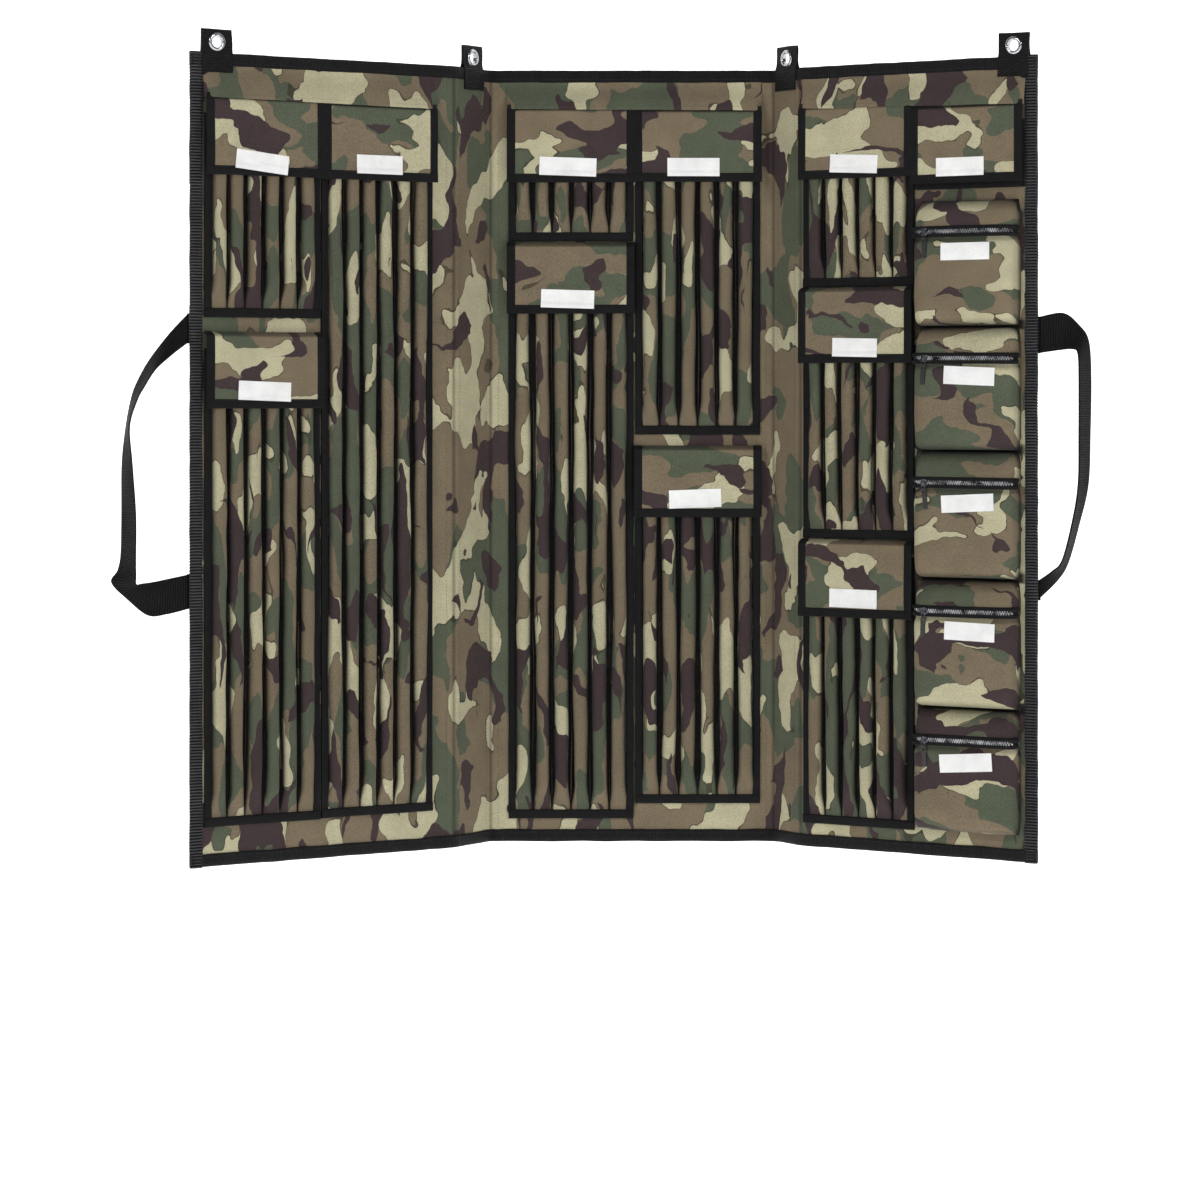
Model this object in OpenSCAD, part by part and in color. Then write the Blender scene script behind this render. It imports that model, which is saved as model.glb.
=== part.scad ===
// Hanging tri-fold stick bag: three stiff panels joined by two soft spines.
// Long narrow sewn tubes with flap lids hold sticks, five zipped pouches hold small parts.
// +Z up, +X to the right seen from the pocket side, the pocket side faces -Y.
// The origin is on the line of the hanging eyelets, at mid width of the centre panel.

/* [Panels] */
// Height of the bag, top edge to bottom edge
bag_h = 1016; // [900:1:1100]
// Distance from the eyelet centres down to the top edge
eyelet_up = 14; // [12:1:20]
// Half width of the centre panel
centre_half = 188; // [184:1:200]
// Width of the left wing
left_w = 377; // [374:1:377]
// Width of the right wing
right_w = 339; // [334:1:342]
// Width of the left spine
left_spine_w = 80; // [80:1:90]
// Width of the right spine
right_spine_w = 56; // [56:1:60]
// Thickness of a covered board
board_t = 4; // [3:0.5:4]
// Gap left for each fold, from the fold line to the board
fold_gap = 2.5; // [2.5:0.5:4]
// Width of the webbing binding on the edges
binding_w = 15.5; // [12:0.5:18]

/* [Rest angles] */
// Left spine, turned towards the pocket side
left_spine_a = 56.6; // [40:0.1:60]
// Left wing, turned towards the pocket side
left_wing_a = 32.4; // [20:0.1:40]
// Right spine, turned towards the pocket side
right_spine_a = 54.4; // [40:0.1:60]
// Right wing, turned towards the pocket side
right_wing_a = 31.4; // [20:0.1:40]
// Rear handle, leaning back from the plane of the centre panel
rear_handle_a = 20; // [18:1:60]

/* [Stick tubes] */
// Depth of a tube in front of the board
tube_d = 12; // [9:0.5:12]
// Number of tubes side by side in one strip
tube_n = 6; // [4:1:7]
// Width of a strip of tubes
strip_w = 162; // [150:1:162]
// Width of the seam between two tubes
seam_w = 4; // [3:0.5:6]
// Width of the bound edge beside the outer tubes
side_w = 7; // [5:0.5:9]
// Distance from the top of a flap down to the mouth of its tubes
mouth_drop = 28; // [24:1:34]

/* [Flaps] */
// Thickness of a flap
flap_t = 2; // [1.5:0.1:2]
// Distance from the board to the hinge line of a flap
flap_axis = 8.2; // [8:0.1:8.4]
// Length of a name card on a flap or a pouch
card_l = 71; // [60:1:80]
// Height of a name card
card_h = 24; // [20:0.1:28]
// How far a pouch card sits to the right of the middle of its pouch, clear of the zip pull
card_shift = 10; // [0:1:14]

/* [Zipped pouches] */
// Depth of a pouch
pouch_d = 29; // [20:1:29]
// Width of a pouch
pouch_w = 143; // [130:1:143]
// Distance from the top of a pouch down to its zip
zip_drop = 40; // [36:1:44]

/* [Webbing and eyelets] */
// Width of the wide webbing on the back
strap_w = 50; // [38:1:50]
// Width of a hanging tab
tab_w = 42; // [38:1:44]
// Height of a hanging tab above the top edge
tab_up = 30.5; // [28:0.5:34]
// Radius of the hole in an eyelet
eyelet_r = 7; // [5:0.5:7.5]
// Radius of the flange of an eyelet
eyelet_flange_r = 11.5; // [11:0.5:13]

/* [Hidden] */
$fn = 48;

camo = "#5d5f47";
camo_dark = "#4b5442";
camo_light = "#a59e78";
black_web = "#1c1c1e";
card_white = "#f2f2f2";
nickel = "#b9bcc0";
black_plastic = "#151517";

z_top = -eyelet_up;
z_bot = z_top - bag_h;
hb = board_t / 2;
// the binding stands this far from the middle of the board
bind_y = hb + 1.1;
// the back webbing lies between these two distances from the middle of the board
web_y0 = bind_y + 0.1;
web_y1 = web_y0 + 1.6;
// the handles and buckle straps turn on lines this far behind the middle of the board
turn_y = web_y1 + 1.6;

// distances below the top edge of the back straps: buckle, handle, handle, buckle
strap_t = [139, 340, 676, 890];
// strips: distance of the flap top and of the strip bottom below the top edge, and the flap length
strips_left_outer = [[55, 330.3, 97], [349.3, 967, 94.7]];
strips_left_inner = [[57, 966, 95.5]];
strips_centre_left = [[50.4, 225, 97], [227.4, 986, 92.6]];
strips_centre_right = [[52.2, 479.8, 94.3], [495.4, 966, 92.6]];
strips_right_inner = [[53.6, 287.4, 93.4], [289, 613.7, 96.8], [616, 985.5, 99]];
strips_right_outer = [[60, 165, 97.5]];
// where each strip starts along its panel
x_left_outer = -359.5;
x_left_inner = -196;
x_centre_left = -163;
x_centre_right = 4;
x_right_inner = 6;
x_right_outer = 169.5;
outer_w = 153.5;
// pouches: distance of the top and of the bottom below the top edge
pouch_t = [[180, 335], [341, 494], [499, 655], [662, 820], [826, 982]];
pouch_x = 175;

// a box from two corners
module bx(x0, x1, y0, y1, z0, z1)
  translate([x0, y0, z0]) cube([x1 - x0, y1 - y0, z1 - z0]);

// places: local x runs along the panel, local -y is its pocket side
module at_left_spine() translate([-centre_half, 0, 0]) rotate([0, 0, left_spine_a]) children();
module at_left_wing()
  translate([-centre_half - left_spine_w * cos(left_spine_a), -left_spine_w * sin(left_spine_a), 0])
    rotate([0, 0, left_wing_a]) children();
module at_right_spine() translate([centre_half, 0, 0]) rotate([0, 0, -right_spine_a]) children();
module at_right_wing()
  translate([centre_half + right_spine_w * cos(right_spine_a), -right_spine_w * sin(right_spine_a), 0])
    rotate([0, 0, -right_wing_a]) children();

// a covered board, clear of the binding at its bound edges
module board(x0, x1) bx(x0, x1, -hb, hb, z_bot + 1.2, z_top - 1.2);

// a folded strip of binding along the top or the bottom edge, with a slot for the board
module bind_h(x0, x1, top) {
  za = top ? z_top - binding_w : z_bot;
  difference() {
    bx(x0, x1, -bind_y, bind_y, za, za + binding_w);
    if (top) bx(x0 - 1, x1 + 1, -hb - 0.05, hb + 0.05, za - 1, z_top - 1.1);
    else bx(x0 - 1, x1 + 1, -hb - 0.05, hb + 0.05, z_bot + 1.1, za + binding_w + 1);
  }
}
// the same along a side edge; s is 1 at the right end of a panel and -1 at the left end
module bind_v(x_edge, s) {
  difference() {
    bx(min(x_edge, x_edge - s * binding_w), max(x_edge, x_edge - s * binding_w), -bind_y, bind_y,
       z_bot + binding_w + 0.1, z_top - binding_w - 0.1);
    bx(min(x_edge - s * 1.1, x_edge - s * (binding_w + 1)), max(x_edge - s * 1.1, x_edge - s * (binding_w + 1)),
       -hb - 0.05, hb + 0.05, z_bot, z_top);
  }
}
module bind_pair(x0, x1) {
  bind_h(x0, x1, true);
  bind_h(x0, x1, false);
}

// a strip of side-by-side tubes, closed at the bottom, open at the mouth under its flap
module strip(x0, w, t_flap, t_bot) {
  zm = z_top - t_flap - mouth_drop;
  zb = z_top - t_bot;
  pitch = (w - 2 * side_w) / tube_n;
  // front sheet
  bx(x0, x0 + w, -hb - tube_d, -hb - tube_d + 1.2, zb + 16.2, zm);
  // bound sides
  bx(x0, x0 + side_w, -hb - tube_d + 1.3, -hb - 0.1, zb + 16.2, zm);
  bx(x0 + w - side_w, x0 + w, -hb - tube_d + 1.3, -hb - 0.1, zb + 16.2, zm);
  // seams between the tubes
  for (i = [1:tube_n - 1])
    bx(x0 + side_w + i * pitch - seam_w / 2, x0 + side_w + i * pitch + seam_w / 2,
       -hb - tube_d + 1.3, -hb - 0.1, zb + 16.2, zm);
  // closed bottom and the flat bound edge below it
  bx(x0, x0 + w, -hb - tube_d, -hb - 0.1, zb + 12.1, zb + 16.1);
  bx(x0, x0 + w, -hb - 2.6, -hb - 0.1, zb, zb + 12);
}

// a flap lid with its top return and its name card
module flap(x0, w, t_flap, len) {
  z1 = z_top - t_flap;
  y1 = -hb - tube_d - 0.4;
  color(camo) bx(x0 + 0.5, x0 + w - 0.5, y1 - flap_t, y1, z1 - len, z1);
  color(camo_dark) bx(x0 + 0.5, x0 + w - 0.5, y1 + 0.1, -hb - 0.45, z1 - 1.5, z1 - 0.1);
  color(card_white) bx(x0 + w / 2 - card_l / 2, x0 + w / 2 + card_l / 2, y1 - flap_t - 0.55, y1 - flap_t - 0.05,
     z1 - len + 10, z1 - len + 10 + card_h);
}

// a zipped pouch: thin walls around one hollow, with a slit for the zip
module pouch(t0, t1) {
  z1 = z_top - t0;
  z0 = z_top - t1;
  zz = z1 - zip_drop;
  x0 = pouch_x;
  x1 = pouch_x + pouch_w;
  yf = -hb - pouch_d;
  bx(x0, x1, -hb - 1.1, -hb - 0.1, z0, z1);
  bx(x0, x0 + 1.5, yf, -hb - 1.2, z0, z1);
  bx(x1 - 1.5, x1, yf, -hb - 1.2, z0, z1);
  bx(x0 + 1.6, x1 - 1.6, yf, -hb - 1.2, z0, z0 + 1.5);
  bx(x0 + 1.6, x1 - 1.6, yf, -hb - 1.2, z1 - 1.5, z1);
  bx(x0 + 1.6, x1 - 1.6, yf, yf + 1.5, z0 + 1.6, zz - 4);
  bx(x0 + 1.6, x1 - 1.6, yf, yf + 1.5, zz + 4, z1 - 1.6);
}
module zip_tape(t0) {
  zz = z_top - t0 - zip_drop;
  yf = -hb - pouch_d;
  for (s = [-1, 1])
    bx(pouch_x + 1.6, pouch_x + pouch_w - 1.6, yf - 1.1, yf - 0.1, min(zz + s * 3, zz + s * 8), max(zz + s * 3, zz + s * 8));
}
module zip_slider(t0) {
  zz = z_top - t0 - zip_drop;
  yf = -hb - pouch_d - 1.4;
  color(nickel) bx(pouch_x + 14, pouch_x + 23, yf - 2.6, yf, zz - 6, zz + 6);
  color(black_web) bx(pouch_x + 16, pouch_x + 21, yf - 2.2, yf - 0.8, zz - 35, zz - 6.1);
}

// a hanging tab of doubled webbing, sewn over the top edge, with a hole for its eyelet
module tab(xc) {
  color(black_web) difference() {
    union() {
      bx(xc - tab_w / 2, xc + tab_w / 2, -web_y1, web_y1, z_top - 27, z_top + 2.3);
      bx(xc - tab_w / 2, xc + tab_w / 2, -2.2, 2.2, z_top + 2.3, z_top + tab_up);
    }
    bx(xc - tab_w / 2 - 1, xc + tab_w / 2 + 1, -web_y0, web_y0, z_top - 28, z_top + 1);
    translate([xc, 0, 0]) rotate([90, 0, 0]) cylinder(r = eyelet_r + 2.1, h = 40, center = true);
  }
}
// a two-sided metal eyelet
module eyelet(xc) {
  color(nickel) translate([xc, 0, 0]) rotate([90, 0, 0]) difference() {
    union() {
      cylinder(r = eyelet_r + 2, h = 6.6, center = true);
      for (s = [-1, 1]) translate([0, 0, s * 2.8]) cylinder(r = eyelet_flange_r, h = 1, center = true);
    }
    cylinder(r = eyelet_r, h = 10, center = true);
  }
}

// flat webbing across the back of a panel, at the given distances below the top edge
module back_web(x0, x1, list)
  for (i = list) bx(x0, x1, web_y0, web_y1, z_top - strap_t[i] - strap_w / 2, z_top - strap_t[i] + strap_w / 2);

// one flat length of a handle: an outline in the plane of the handle, a out from the turning line
module ribbon(pts) rotate([90, 0, 0]) linear_extrude(2.2, center = true) polygon(pts);

module handle_shape_left() {
  z = z_top - 425;
  union() {
    ribbon([[1, z + 99], [1, z + 62], [47.6, z + 21], [61, z + 21]]);
    ribbon([[47.6, z + 22], [61.5, z + 22], [83, z - 38], [68, z - 38]]);
    ribbon([[68, z - 37], [83, z - 37], [86, z - 206], [66, z - 206]]);
    ribbon([[66, z - 205], [86, z - 205], [97, z - 228], [66, z - 228]]);
    ribbon([[1, z - 220], [64, z - 227], [97, z - 227], [52, z - 268], [1, z - 262]]);
  }
}
module handle_shape_right() {
  z = z_top - 425;
  union() {
    ribbon([[1, z + 97], [30, z + 101], [64, z + 66], [46, z + 56], [1, z + 50]]);
    ribbon([[45.5, z + 57], [64, z + 67], [62, z - 121], [46, z - 121]]);
    ribbon([[46.5, z - 120], [61.5, z - 120], [36, z - 217], [26, z - 217]]);
    ribbon([[26, z - 216], [36, z - 216], [1, z - 259], [1, z - 238]]);
  }
}
module handle_shape_rear() {
  zc = z_top - (strap_t[1] + strap_t[2]) / 2;
  h = (strap_t[2] - strap_t[1]) / 2;
  union() {
    for (s = [-1, 1]) {
      ribbon([[1, zc + s * (h + 25)], [1, zc + s * (h - 25)], [90, zc + s * (h - 75)], [104, zc + s * (h - 35)]]);
      ribbon([[102, zc + s * (h - 33)], [89, zc + s * (h - 75)], [124, zc + s * 39], [160, zc + s * 59]]);
    }
    ribbon([[124, zc - 40], [160, zc - 60], [166, zc - 30], [166, zc + 30], [160, zc + 60], [124, zc + 40]]);
  }
}

module centre_panel() { color(camo) board(-centre_half + fold_gap, centre_half - fold_gap); }
module left_spine() { color(camo_dark) at_left_spine() board(-left_spine_w + fold_gap, -fold_gap); }
module right_spine() { color(camo_dark) at_right_spine() board(fold_gap, right_spine_w - fold_gap); }
module left_panel() { color(camo) at_left_wing() board(-left_w + 1.2, -fold_gap); }
module right_panel() { color(camo) at_right_wing() board(fold_gap, right_w - 1.2); }

module centre_binding() { color(black_web) bind_pair(-centre_half + 4, centre_half - 4); }
module left_spine_binding() { color(black_web) at_left_spine() bind_pair(-left_spine_w + 4, -4); }
module right_spine_binding() { color(black_web) at_right_spine() bind_pair(4, right_spine_w - 4); }
module left_binding() {
  color(black_web) at_left_wing() { bind_pair(-left_w, -4); bind_v(-left_w, -1); }
}
module right_binding() {
  color(black_web) at_right_wing() { bind_pair(4, right_w); bind_v(right_w, 1); }
}

tab_x_left = -341;
tab_x_right = 307;
module tab_left_edge() { at_left_wing() tab(tab_x_left); }
module tab_left_spine() { at_left_spine() tab(-left_spine_w / 2); }
module tab_right_spine() { at_right_spine() tab(right_spine_w / 2); }
module tab_right_edge() { at_right_wing() tab(tab_x_right); }
module eyelet_left_edge() { at_left_wing() eyelet(tab_x_left); }
module eyelet_left_spine() { at_left_spine() eyelet(-left_spine_w / 2); }
module eyelet_right_spine() { at_right_spine() eyelet(right_spine_w / 2); }
module eyelet_right_edge() { at_right_wing() eyelet(tab_x_right); }

module strips(x0, w, list) { for (s = list) strip(x0, w, s[0], s[1]); }
module tubes_left_outer() { color(camo_light) at_left_wing() strips(x_left_outer, strip_w, strips_left_outer); }
module tubes_left_inner() { color(camo_dark) at_left_wing() strips(x_left_inner, strip_w, strips_left_inner); }
module tubes_centre_left() { color(camo_dark) strips(x_centre_left, strip_w + 3, strips_centre_left); }
module tubes_centre_right() { color(camo_light) strips(x_centre_right, strip_w + 3, strips_centre_right); }
module tubes_right_inner() { color(camo_dark) at_right_wing() strips(x_right_inner, strip_w, strips_right_inner); }
module tubes_right_outer() { color(camo_light) at_right_wing() strips(x_right_outer, outer_w, strips_right_outer); }

module flap_of(x0, w, s) flap(x0, w, s[0], s[2]);
module flap_01() { at_left_wing() flap_of(x_left_outer, strip_w, strips_left_outer[0]); }
module flap_02() { at_left_wing() flap_of(x_left_outer, strip_w, strips_left_outer[1]); }
module flap_03() { at_left_wing() flap_of(x_left_inner, strip_w, strips_left_inner[0]); }
module flap_04() { flap_of(x_centre_left, strip_w + 3, strips_centre_left[0]); }
module flap_05() { flap_of(x_centre_left, strip_w + 3, strips_centre_left[1]); }
module flap_06() { flap_of(x_centre_right, strip_w + 3, strips_centre_right[0]); }
module flap_07() { flap_of(x_centre_right, strip_w + 3, strips_centre_right[1]); }
module flap_08() { at_right_wing() flap_of(x_right_inner, strip_w, strips_right_inner[0]); }
module flap_09() { at_right_wing() flap_of(x_right_inner, strip_w, strips_right_inner[1]); }
module flap_10() { at_right_wing() flap_of(x_right_inner, strip_w, strips_right_inner[2]); }
module flap_11() { at_right_wing() flap_of(x_right_outer, outer_w, strips_right_outer[0]); }

module pouch_1() { color(camo) at_right_wing() pouch(pouch_t[0][0], pouch_t[0][1]); }
module pouch_2() { color(camo_dark) at_right_wing() pouch(pouch_t[1][0], pouch_t[1][1]); }
module pouch_3() { color(camo) at_right_wing() pouch(pouch_t[2][0], pouch_t[2][1]); }
module pouch_4() { color(camo_dark) at_right_wing() pouch(pouch_t[3][0], pouch_t[3][1]); }
module pouch_5() { color(camo) at_right_wing() pouch(pouch_t[4][0], pouch_t[4][1]); }
module pouch_zip_tapes() { color(black_web) at_right_wing() for (p = pouch_t) zip_tape(p[0]); }
module pouch_cards() {
  color(card_white) at_right_wing() for (p = pouch_t) {
    zz = z_top - p[0] - zip_drop;
    xc = pouch_x + pouch_w / 2 + card_shift;
    bx(xc - card_l / 2, xc + card_l / 2, -hb - pouch_d - 0.6, -hb - pouch_d - 0.1, zz - 12 - card_h, zz - 12);
  }
}
module zip_slider_1() { at_right_wing() zip_slider(pouch_t[0][0]); }
module zip_slider_2() { at_right_wing() zip_slider(pouch_t[1][0]); }
module zip_slider_3() { at_right_wing() zip_slider(pouch_t[2][0]); }
module zip_slider_4() { at_right_wing() zip_slider(pouch_t[3][0]); }
module zip_slider_5() { at_right_wing() zip_slider(pouch_t[4][0]); }

// the wing handles lean back from their wings and stand square to the centre panel
module handle_left() {
  color(black_web) at_left_wing() translate([-left_w, turn_y, 0]) rotate([0, 0, -left_wing_a]) mirror([1, 0, 0]) handle_shape_left();
}
module handle_right() {
  color(black_web) at_right_wing() translate([right_w, turn_y, 0]) rotate([0, 0, right_wing_a]) handle_shape_right();
}
module handle_rear() {
  color(black_web) translate([centre_half, turn_y, 0]) rotate([0, 0, rear_handle_a]) handle_shape_rear();
}

module webbing_left_back() { color(black_web) at_left_wing() back_web(-left_w + 1, -4, [0, 1, 2, 3]); }
module webbing_left_spine() { color(black_web) at_left_spine() back_web(-left_spine_w + 4, -4, [0, 1, 2, 3]); }
module webbing_centre_back() { color(black_web) back_web(-centre_half + 4, centre_half - 1, [0, 1, 2, 3]); }
module webbing_right_back() { color(black_web) at_right_wing() back_web(right_w - 150, right_w - 1, [1, 2]); }

z_mid = z_top - bag_h / 2;
module id_window() { color("#c9d2d6") at_left_wing() bx(-left_w + 158, -left_w + 231, hb + 0.1, hb + 1.5, z_mid - 52, z_mid + 52); }
module blank_patch() { color("#202022") at_left_wing() bx(-left_w + 93, -left_w + 145, hb + 0.1, hb + 1.3, z_mid - 29.5, z_mid + 29.5); }

// a socket half of a side-release buckle: a block with a deep slot that opens towards the free edge
module buckle_socket(zc) {
  difference() {
    bx(-left_w + 12, -left_w + 74, web_y1 + 0.1, web_y1 + 14.1, zc - 31, zc + 31);
    bx(-left_w + 11, -left_w + 52, web_y1 + 3.1, web_y1 + 11.1, zc - 25, zc + 25);
  }
}
module buckle_sockets() {
  color(black_plastic) at_left_wing() for (i = [0, 3]) buckle_socket(z_top - strap_t[i]);
}
// a loose strap end with the plug half of the buckle, folded flat on the back of the centre panel
module buckle_strap(zc) {
  color(black_web) bx(centre_half - 108, centre_half - 1, turn_y - 1, turn_y + 0.8, zc - 24, zc + 24);
  color(black_plastic) {
    bx(centre_half - 136, centre_half - 108.1, turn_y - 1, turn_y + 8, zc - 29, zc + 29);
    for (s = [-1, 0, 1])
      bx(centre_half - 172, centre_half - 136.1, turn_y, turn_y + 6.5, zc + s * 17 - 5, zc + s * 17 + 5);
  }
}
module buckle_strap_upper() { buckle_strap(z_top - strap_t[0]); }
module buckle_strap_lower() { buckle_strap(z_top - strap_t[3]); }

centre_panel();
left_spine();
right_spine();
left_panel();
right_panel();
centre_binding();
left_spine_binding();
right_spine_binding();
left_binding();
right_binding();
tab_left_edge();
tab_left_spine();
tab_right_spine();
tab_right_edge();
eyelet_left_edge();
eyelet_left_spine();
eyelet_right_spine();
eyelet_right_edge();
tubes_left_outer();
tubes_left_inner();
tubes_centre_left();
tubes_centre_right();
tubes_right_inner();
tubes_right_outer();
flap_01();
flap_02();
flap_03();
flap_04();
flap_05();
flap_06();
flap_07();
flap_08();
flap_09();
flap_10();
flap_11();
pouch_1();
pouch_2();
pouch_3();
pouch_4();
pouch_5();
pouch_zip_tapes();
pouch_cards();
zip_slider_1();
zip_slider_2();
zip_slider_3();
zip_slider_4();
zip_slider_5();
handle_left();
handle_right();
handle_rear();
webbing_left_back();
webbing_left_spine();
webbing_centre_back();
webbing_right_back();
id_window();
blank_patch();
buckle_sockets();
buckle_strap_upper();
buckle_strap_lower();
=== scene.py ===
import bpy, math
import numpy as np
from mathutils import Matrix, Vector


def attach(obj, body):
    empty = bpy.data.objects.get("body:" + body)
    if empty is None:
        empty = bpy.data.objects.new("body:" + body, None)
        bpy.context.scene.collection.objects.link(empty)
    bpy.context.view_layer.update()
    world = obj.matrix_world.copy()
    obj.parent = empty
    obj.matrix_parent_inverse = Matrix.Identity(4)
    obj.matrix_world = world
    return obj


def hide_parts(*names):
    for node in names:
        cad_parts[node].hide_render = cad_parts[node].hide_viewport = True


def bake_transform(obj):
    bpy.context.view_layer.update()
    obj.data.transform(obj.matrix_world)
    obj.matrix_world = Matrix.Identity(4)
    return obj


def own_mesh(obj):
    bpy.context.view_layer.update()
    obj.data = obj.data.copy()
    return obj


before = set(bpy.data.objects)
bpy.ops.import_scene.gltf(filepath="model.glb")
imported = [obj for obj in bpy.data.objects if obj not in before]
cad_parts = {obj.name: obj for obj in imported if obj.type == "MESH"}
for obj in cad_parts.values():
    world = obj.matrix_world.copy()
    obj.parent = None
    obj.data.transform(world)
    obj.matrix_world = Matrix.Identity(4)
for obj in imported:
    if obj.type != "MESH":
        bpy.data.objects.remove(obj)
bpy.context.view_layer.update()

# ---------------------------------------------------------------- dimensions, millimetres
H, UP, CH, LW, RW, LS, RS = 1016.0, 14.0, 188.0, 377.0, 339.0, 80.0, 56.0
A_LS, A_LW, A_RS, A_RW = 56.6, 32.4, 54.4, 31.4
HB, TD = 2.0, 12.0           # half the board, depth of the tubes in front of it
D = math.radians


class Loc:
    """A panel's own place: x along it, d out of its pocket side from the middle of its board, t down from the top edge."""

    def __init__(self, ox, oy, turn, body, u0, us):
        self.o = np.array([ox, oy])
        self.ex = np.array([math.cos(D(turn)), math.sin(D(turn))])
        self.n = np.array([math.sin(D(turn)), -math.cos(D(turn))])
        self.body, self.u0, self.us = body, u0, us

    def p(self, q):
        q = np.asarray(q, float)
        x, d, t = q[..., 0:1], q[..., 1:2], q[..., 2:3]
        xy = self.o + x * self.ex + d * self.n
        return np.concatenate([xy, -UP - t], -1) * 0.001


lsx, lsy = -CH - LS * math.cos(D(A_LS)), -LS * math.sin(D(A_LS))
rsx, rsy = CH + RS * math.cos(D(A_RS)), -RS * math.sin(D(A_RS))
C = Loc(0, 0, 0, "centre", 0, 1)
LSP = Loc(-CH, 0, A_LS, "left_spine_body", -CH, 1)
LWG = Loc(lsx, lsy, A_LW, "left_wing", -CH - LS, 1)
RSP = Loc(CH, 0, -A_RS, "right_spine_body", CH, 1)
RWG = Loc(rsx, rsy, -A_RW, "right_wing", CH + RS, 1)


def wob(a, b, seed, n=5):
    """A smooth wandering value between about -1 and 1, the same every run."""
    r = np.random.RandomState(int(abs(seed)) % 100003)
    out = 0
    for _ in range(n):
        f, g, ph, w = r.uniform(0.4, 2.2), r.uniform(0.4, 2.2), r.uniform(0, 6.28), r.uniform(0.5, 1)
        out = out + w * np.sin(f * a + g * b * r.choice([-1, 1]) + ph)
    return out / (0.55 * n)


def smooth(x, lo, hi):
    t = np.clip((np.asarray(x, float) - lo) / (hi - lo), 0, 1)
    return t * t * (3 - 2 * t)


# ---------------------------------------------------------------- materials
def new_mat(name):
    m = bpy.data.materials.new(name)
    m.use_nodes = True
    nt = m.node_tree
    for n in list(nt.nodes):
        nt.nodes.remove(n)
    out = nt.nodes.new("ShaderNodeOutputMaterial")
    b = nt.nodes.new("ShaderNodeBsdfPrincipled")
    nt.links.new(b.outputs[0], out.inputs[0])
    return m, nt, b


class G:
    """Short forms for building a node tree."""

    def __init__(self, nt):
        self.nt = nt

    def node(self, kind, **kw):
        n = self.nt.nodes.new(kind)
        for k, v in kw.items():
            setattr(n, k, v)
        return n

    def put(self, sock, v):
        if hasattr(v, "is_linked") or hasattr(v, "links"):
            self.nt.links.new(v, sock)
        else:
            sock.default_value = v

    def math(self, op, a, b=None, c=None, clamp=False):
        n = self.node("ShaderNodeMath", operation=op, use_clamp=clamp)
        self.put(n.inputs[0], a)
        if b is not None:
            self.put(n.inputs[1], b)
        if c is not None:
            self.put(n.inputs[2], c)
        return n.outputs[0]

    def vmath(self, op, a, b=None, c=None, scale=None):
        n = self.node("ShaderNodeVectorMath", operation=op)
        self.put(n.inputs[0], a)
        if b is not None:
            self.put(n.inputs[1], b)
        if c is not None:
            self.put(n.inputs[2], c)
        if scale is not None:
            self.put(n.inputs["Scale"], scale)
        return n.outputs[0]

    def noise(self, vec, scale, detail=2.0, rough=0.5, dist=0.0, color=False):
        n = self.node("ShaderNodeTexNoise", noise_dimensions="3D")
        self.put(n.inputs["Vector"], vec)
        n.inputs["Scale"].default_value = scale
        n.inputs["Detail"].default_value = detail
        n.inputs["Roughness"].default_value = rough
        n.inputs["Distortion"].default_value = dist
        return n.outputs["Color" if color else "Fac"]

    def mix(self, fac, a, b, mode="MIX"):
        n = self.node("ShaderNodeMix", data_type="RGBA", blend_type=mode)
        self.put(n.inputs[0], fac)
        self.put(n.inputs[6], a)
        self.put(n.inputs[7], b)
        return n.outputs[2]

    def step(self, v, lo, hi, to0=0.0, to1=1.0):
        n = self.node("ShaderNodeMapRange", clamp=True)
        self.put(n.inputs[0], v)
        self.put(n.inputs[1], lo)
        self.put(n.inputs[2], hi)
        n.inputs[3].default_value = to0
        n.inputs[4].default_value = to1
        return n.outputs[0]

    def attr(self, name, out="Vector"):
        return self.node("ShaderNodeAttribute", attribute_name=name).outputs[out]

    def wave(self, vec, period, direction="X", dist=0.0):
        n = self.node("ShaderNodeTexWave", wave_type="BANDS", bands_direction=direction, wave_profile="SIN")
        self.put(n.inputs["Vector"], vec)
        n.inputs["Scale"].default_value = 2 * math.pi / (20 * period)
        n.inputs["Distortion"].default_value = dist
        n.inputs["Detail"].default_value = 1.0
        return n.outputs["Fac"]

    def bump(self, height, strength, dist, normal=None):
        n = self.node("ShaderNodeBump")
        n.inputs["Strength"].default_value = strength
        n.inputs["Distance"].default_value = dist
        self.put(n.inputs["Height"], height)
        if normal is not None:
            self.put(n.inputs["Normal"], normal)
        return n.outputs[0]


def srgb(r, g, b):
    f = lambda c: (c / 255 / 12.92) if c / 255 <= 0.04045 else ((c / 255 + 0.055) / 1.055) ** 2.4
    return (f(r), f(g), f(b), 1.0)


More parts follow.
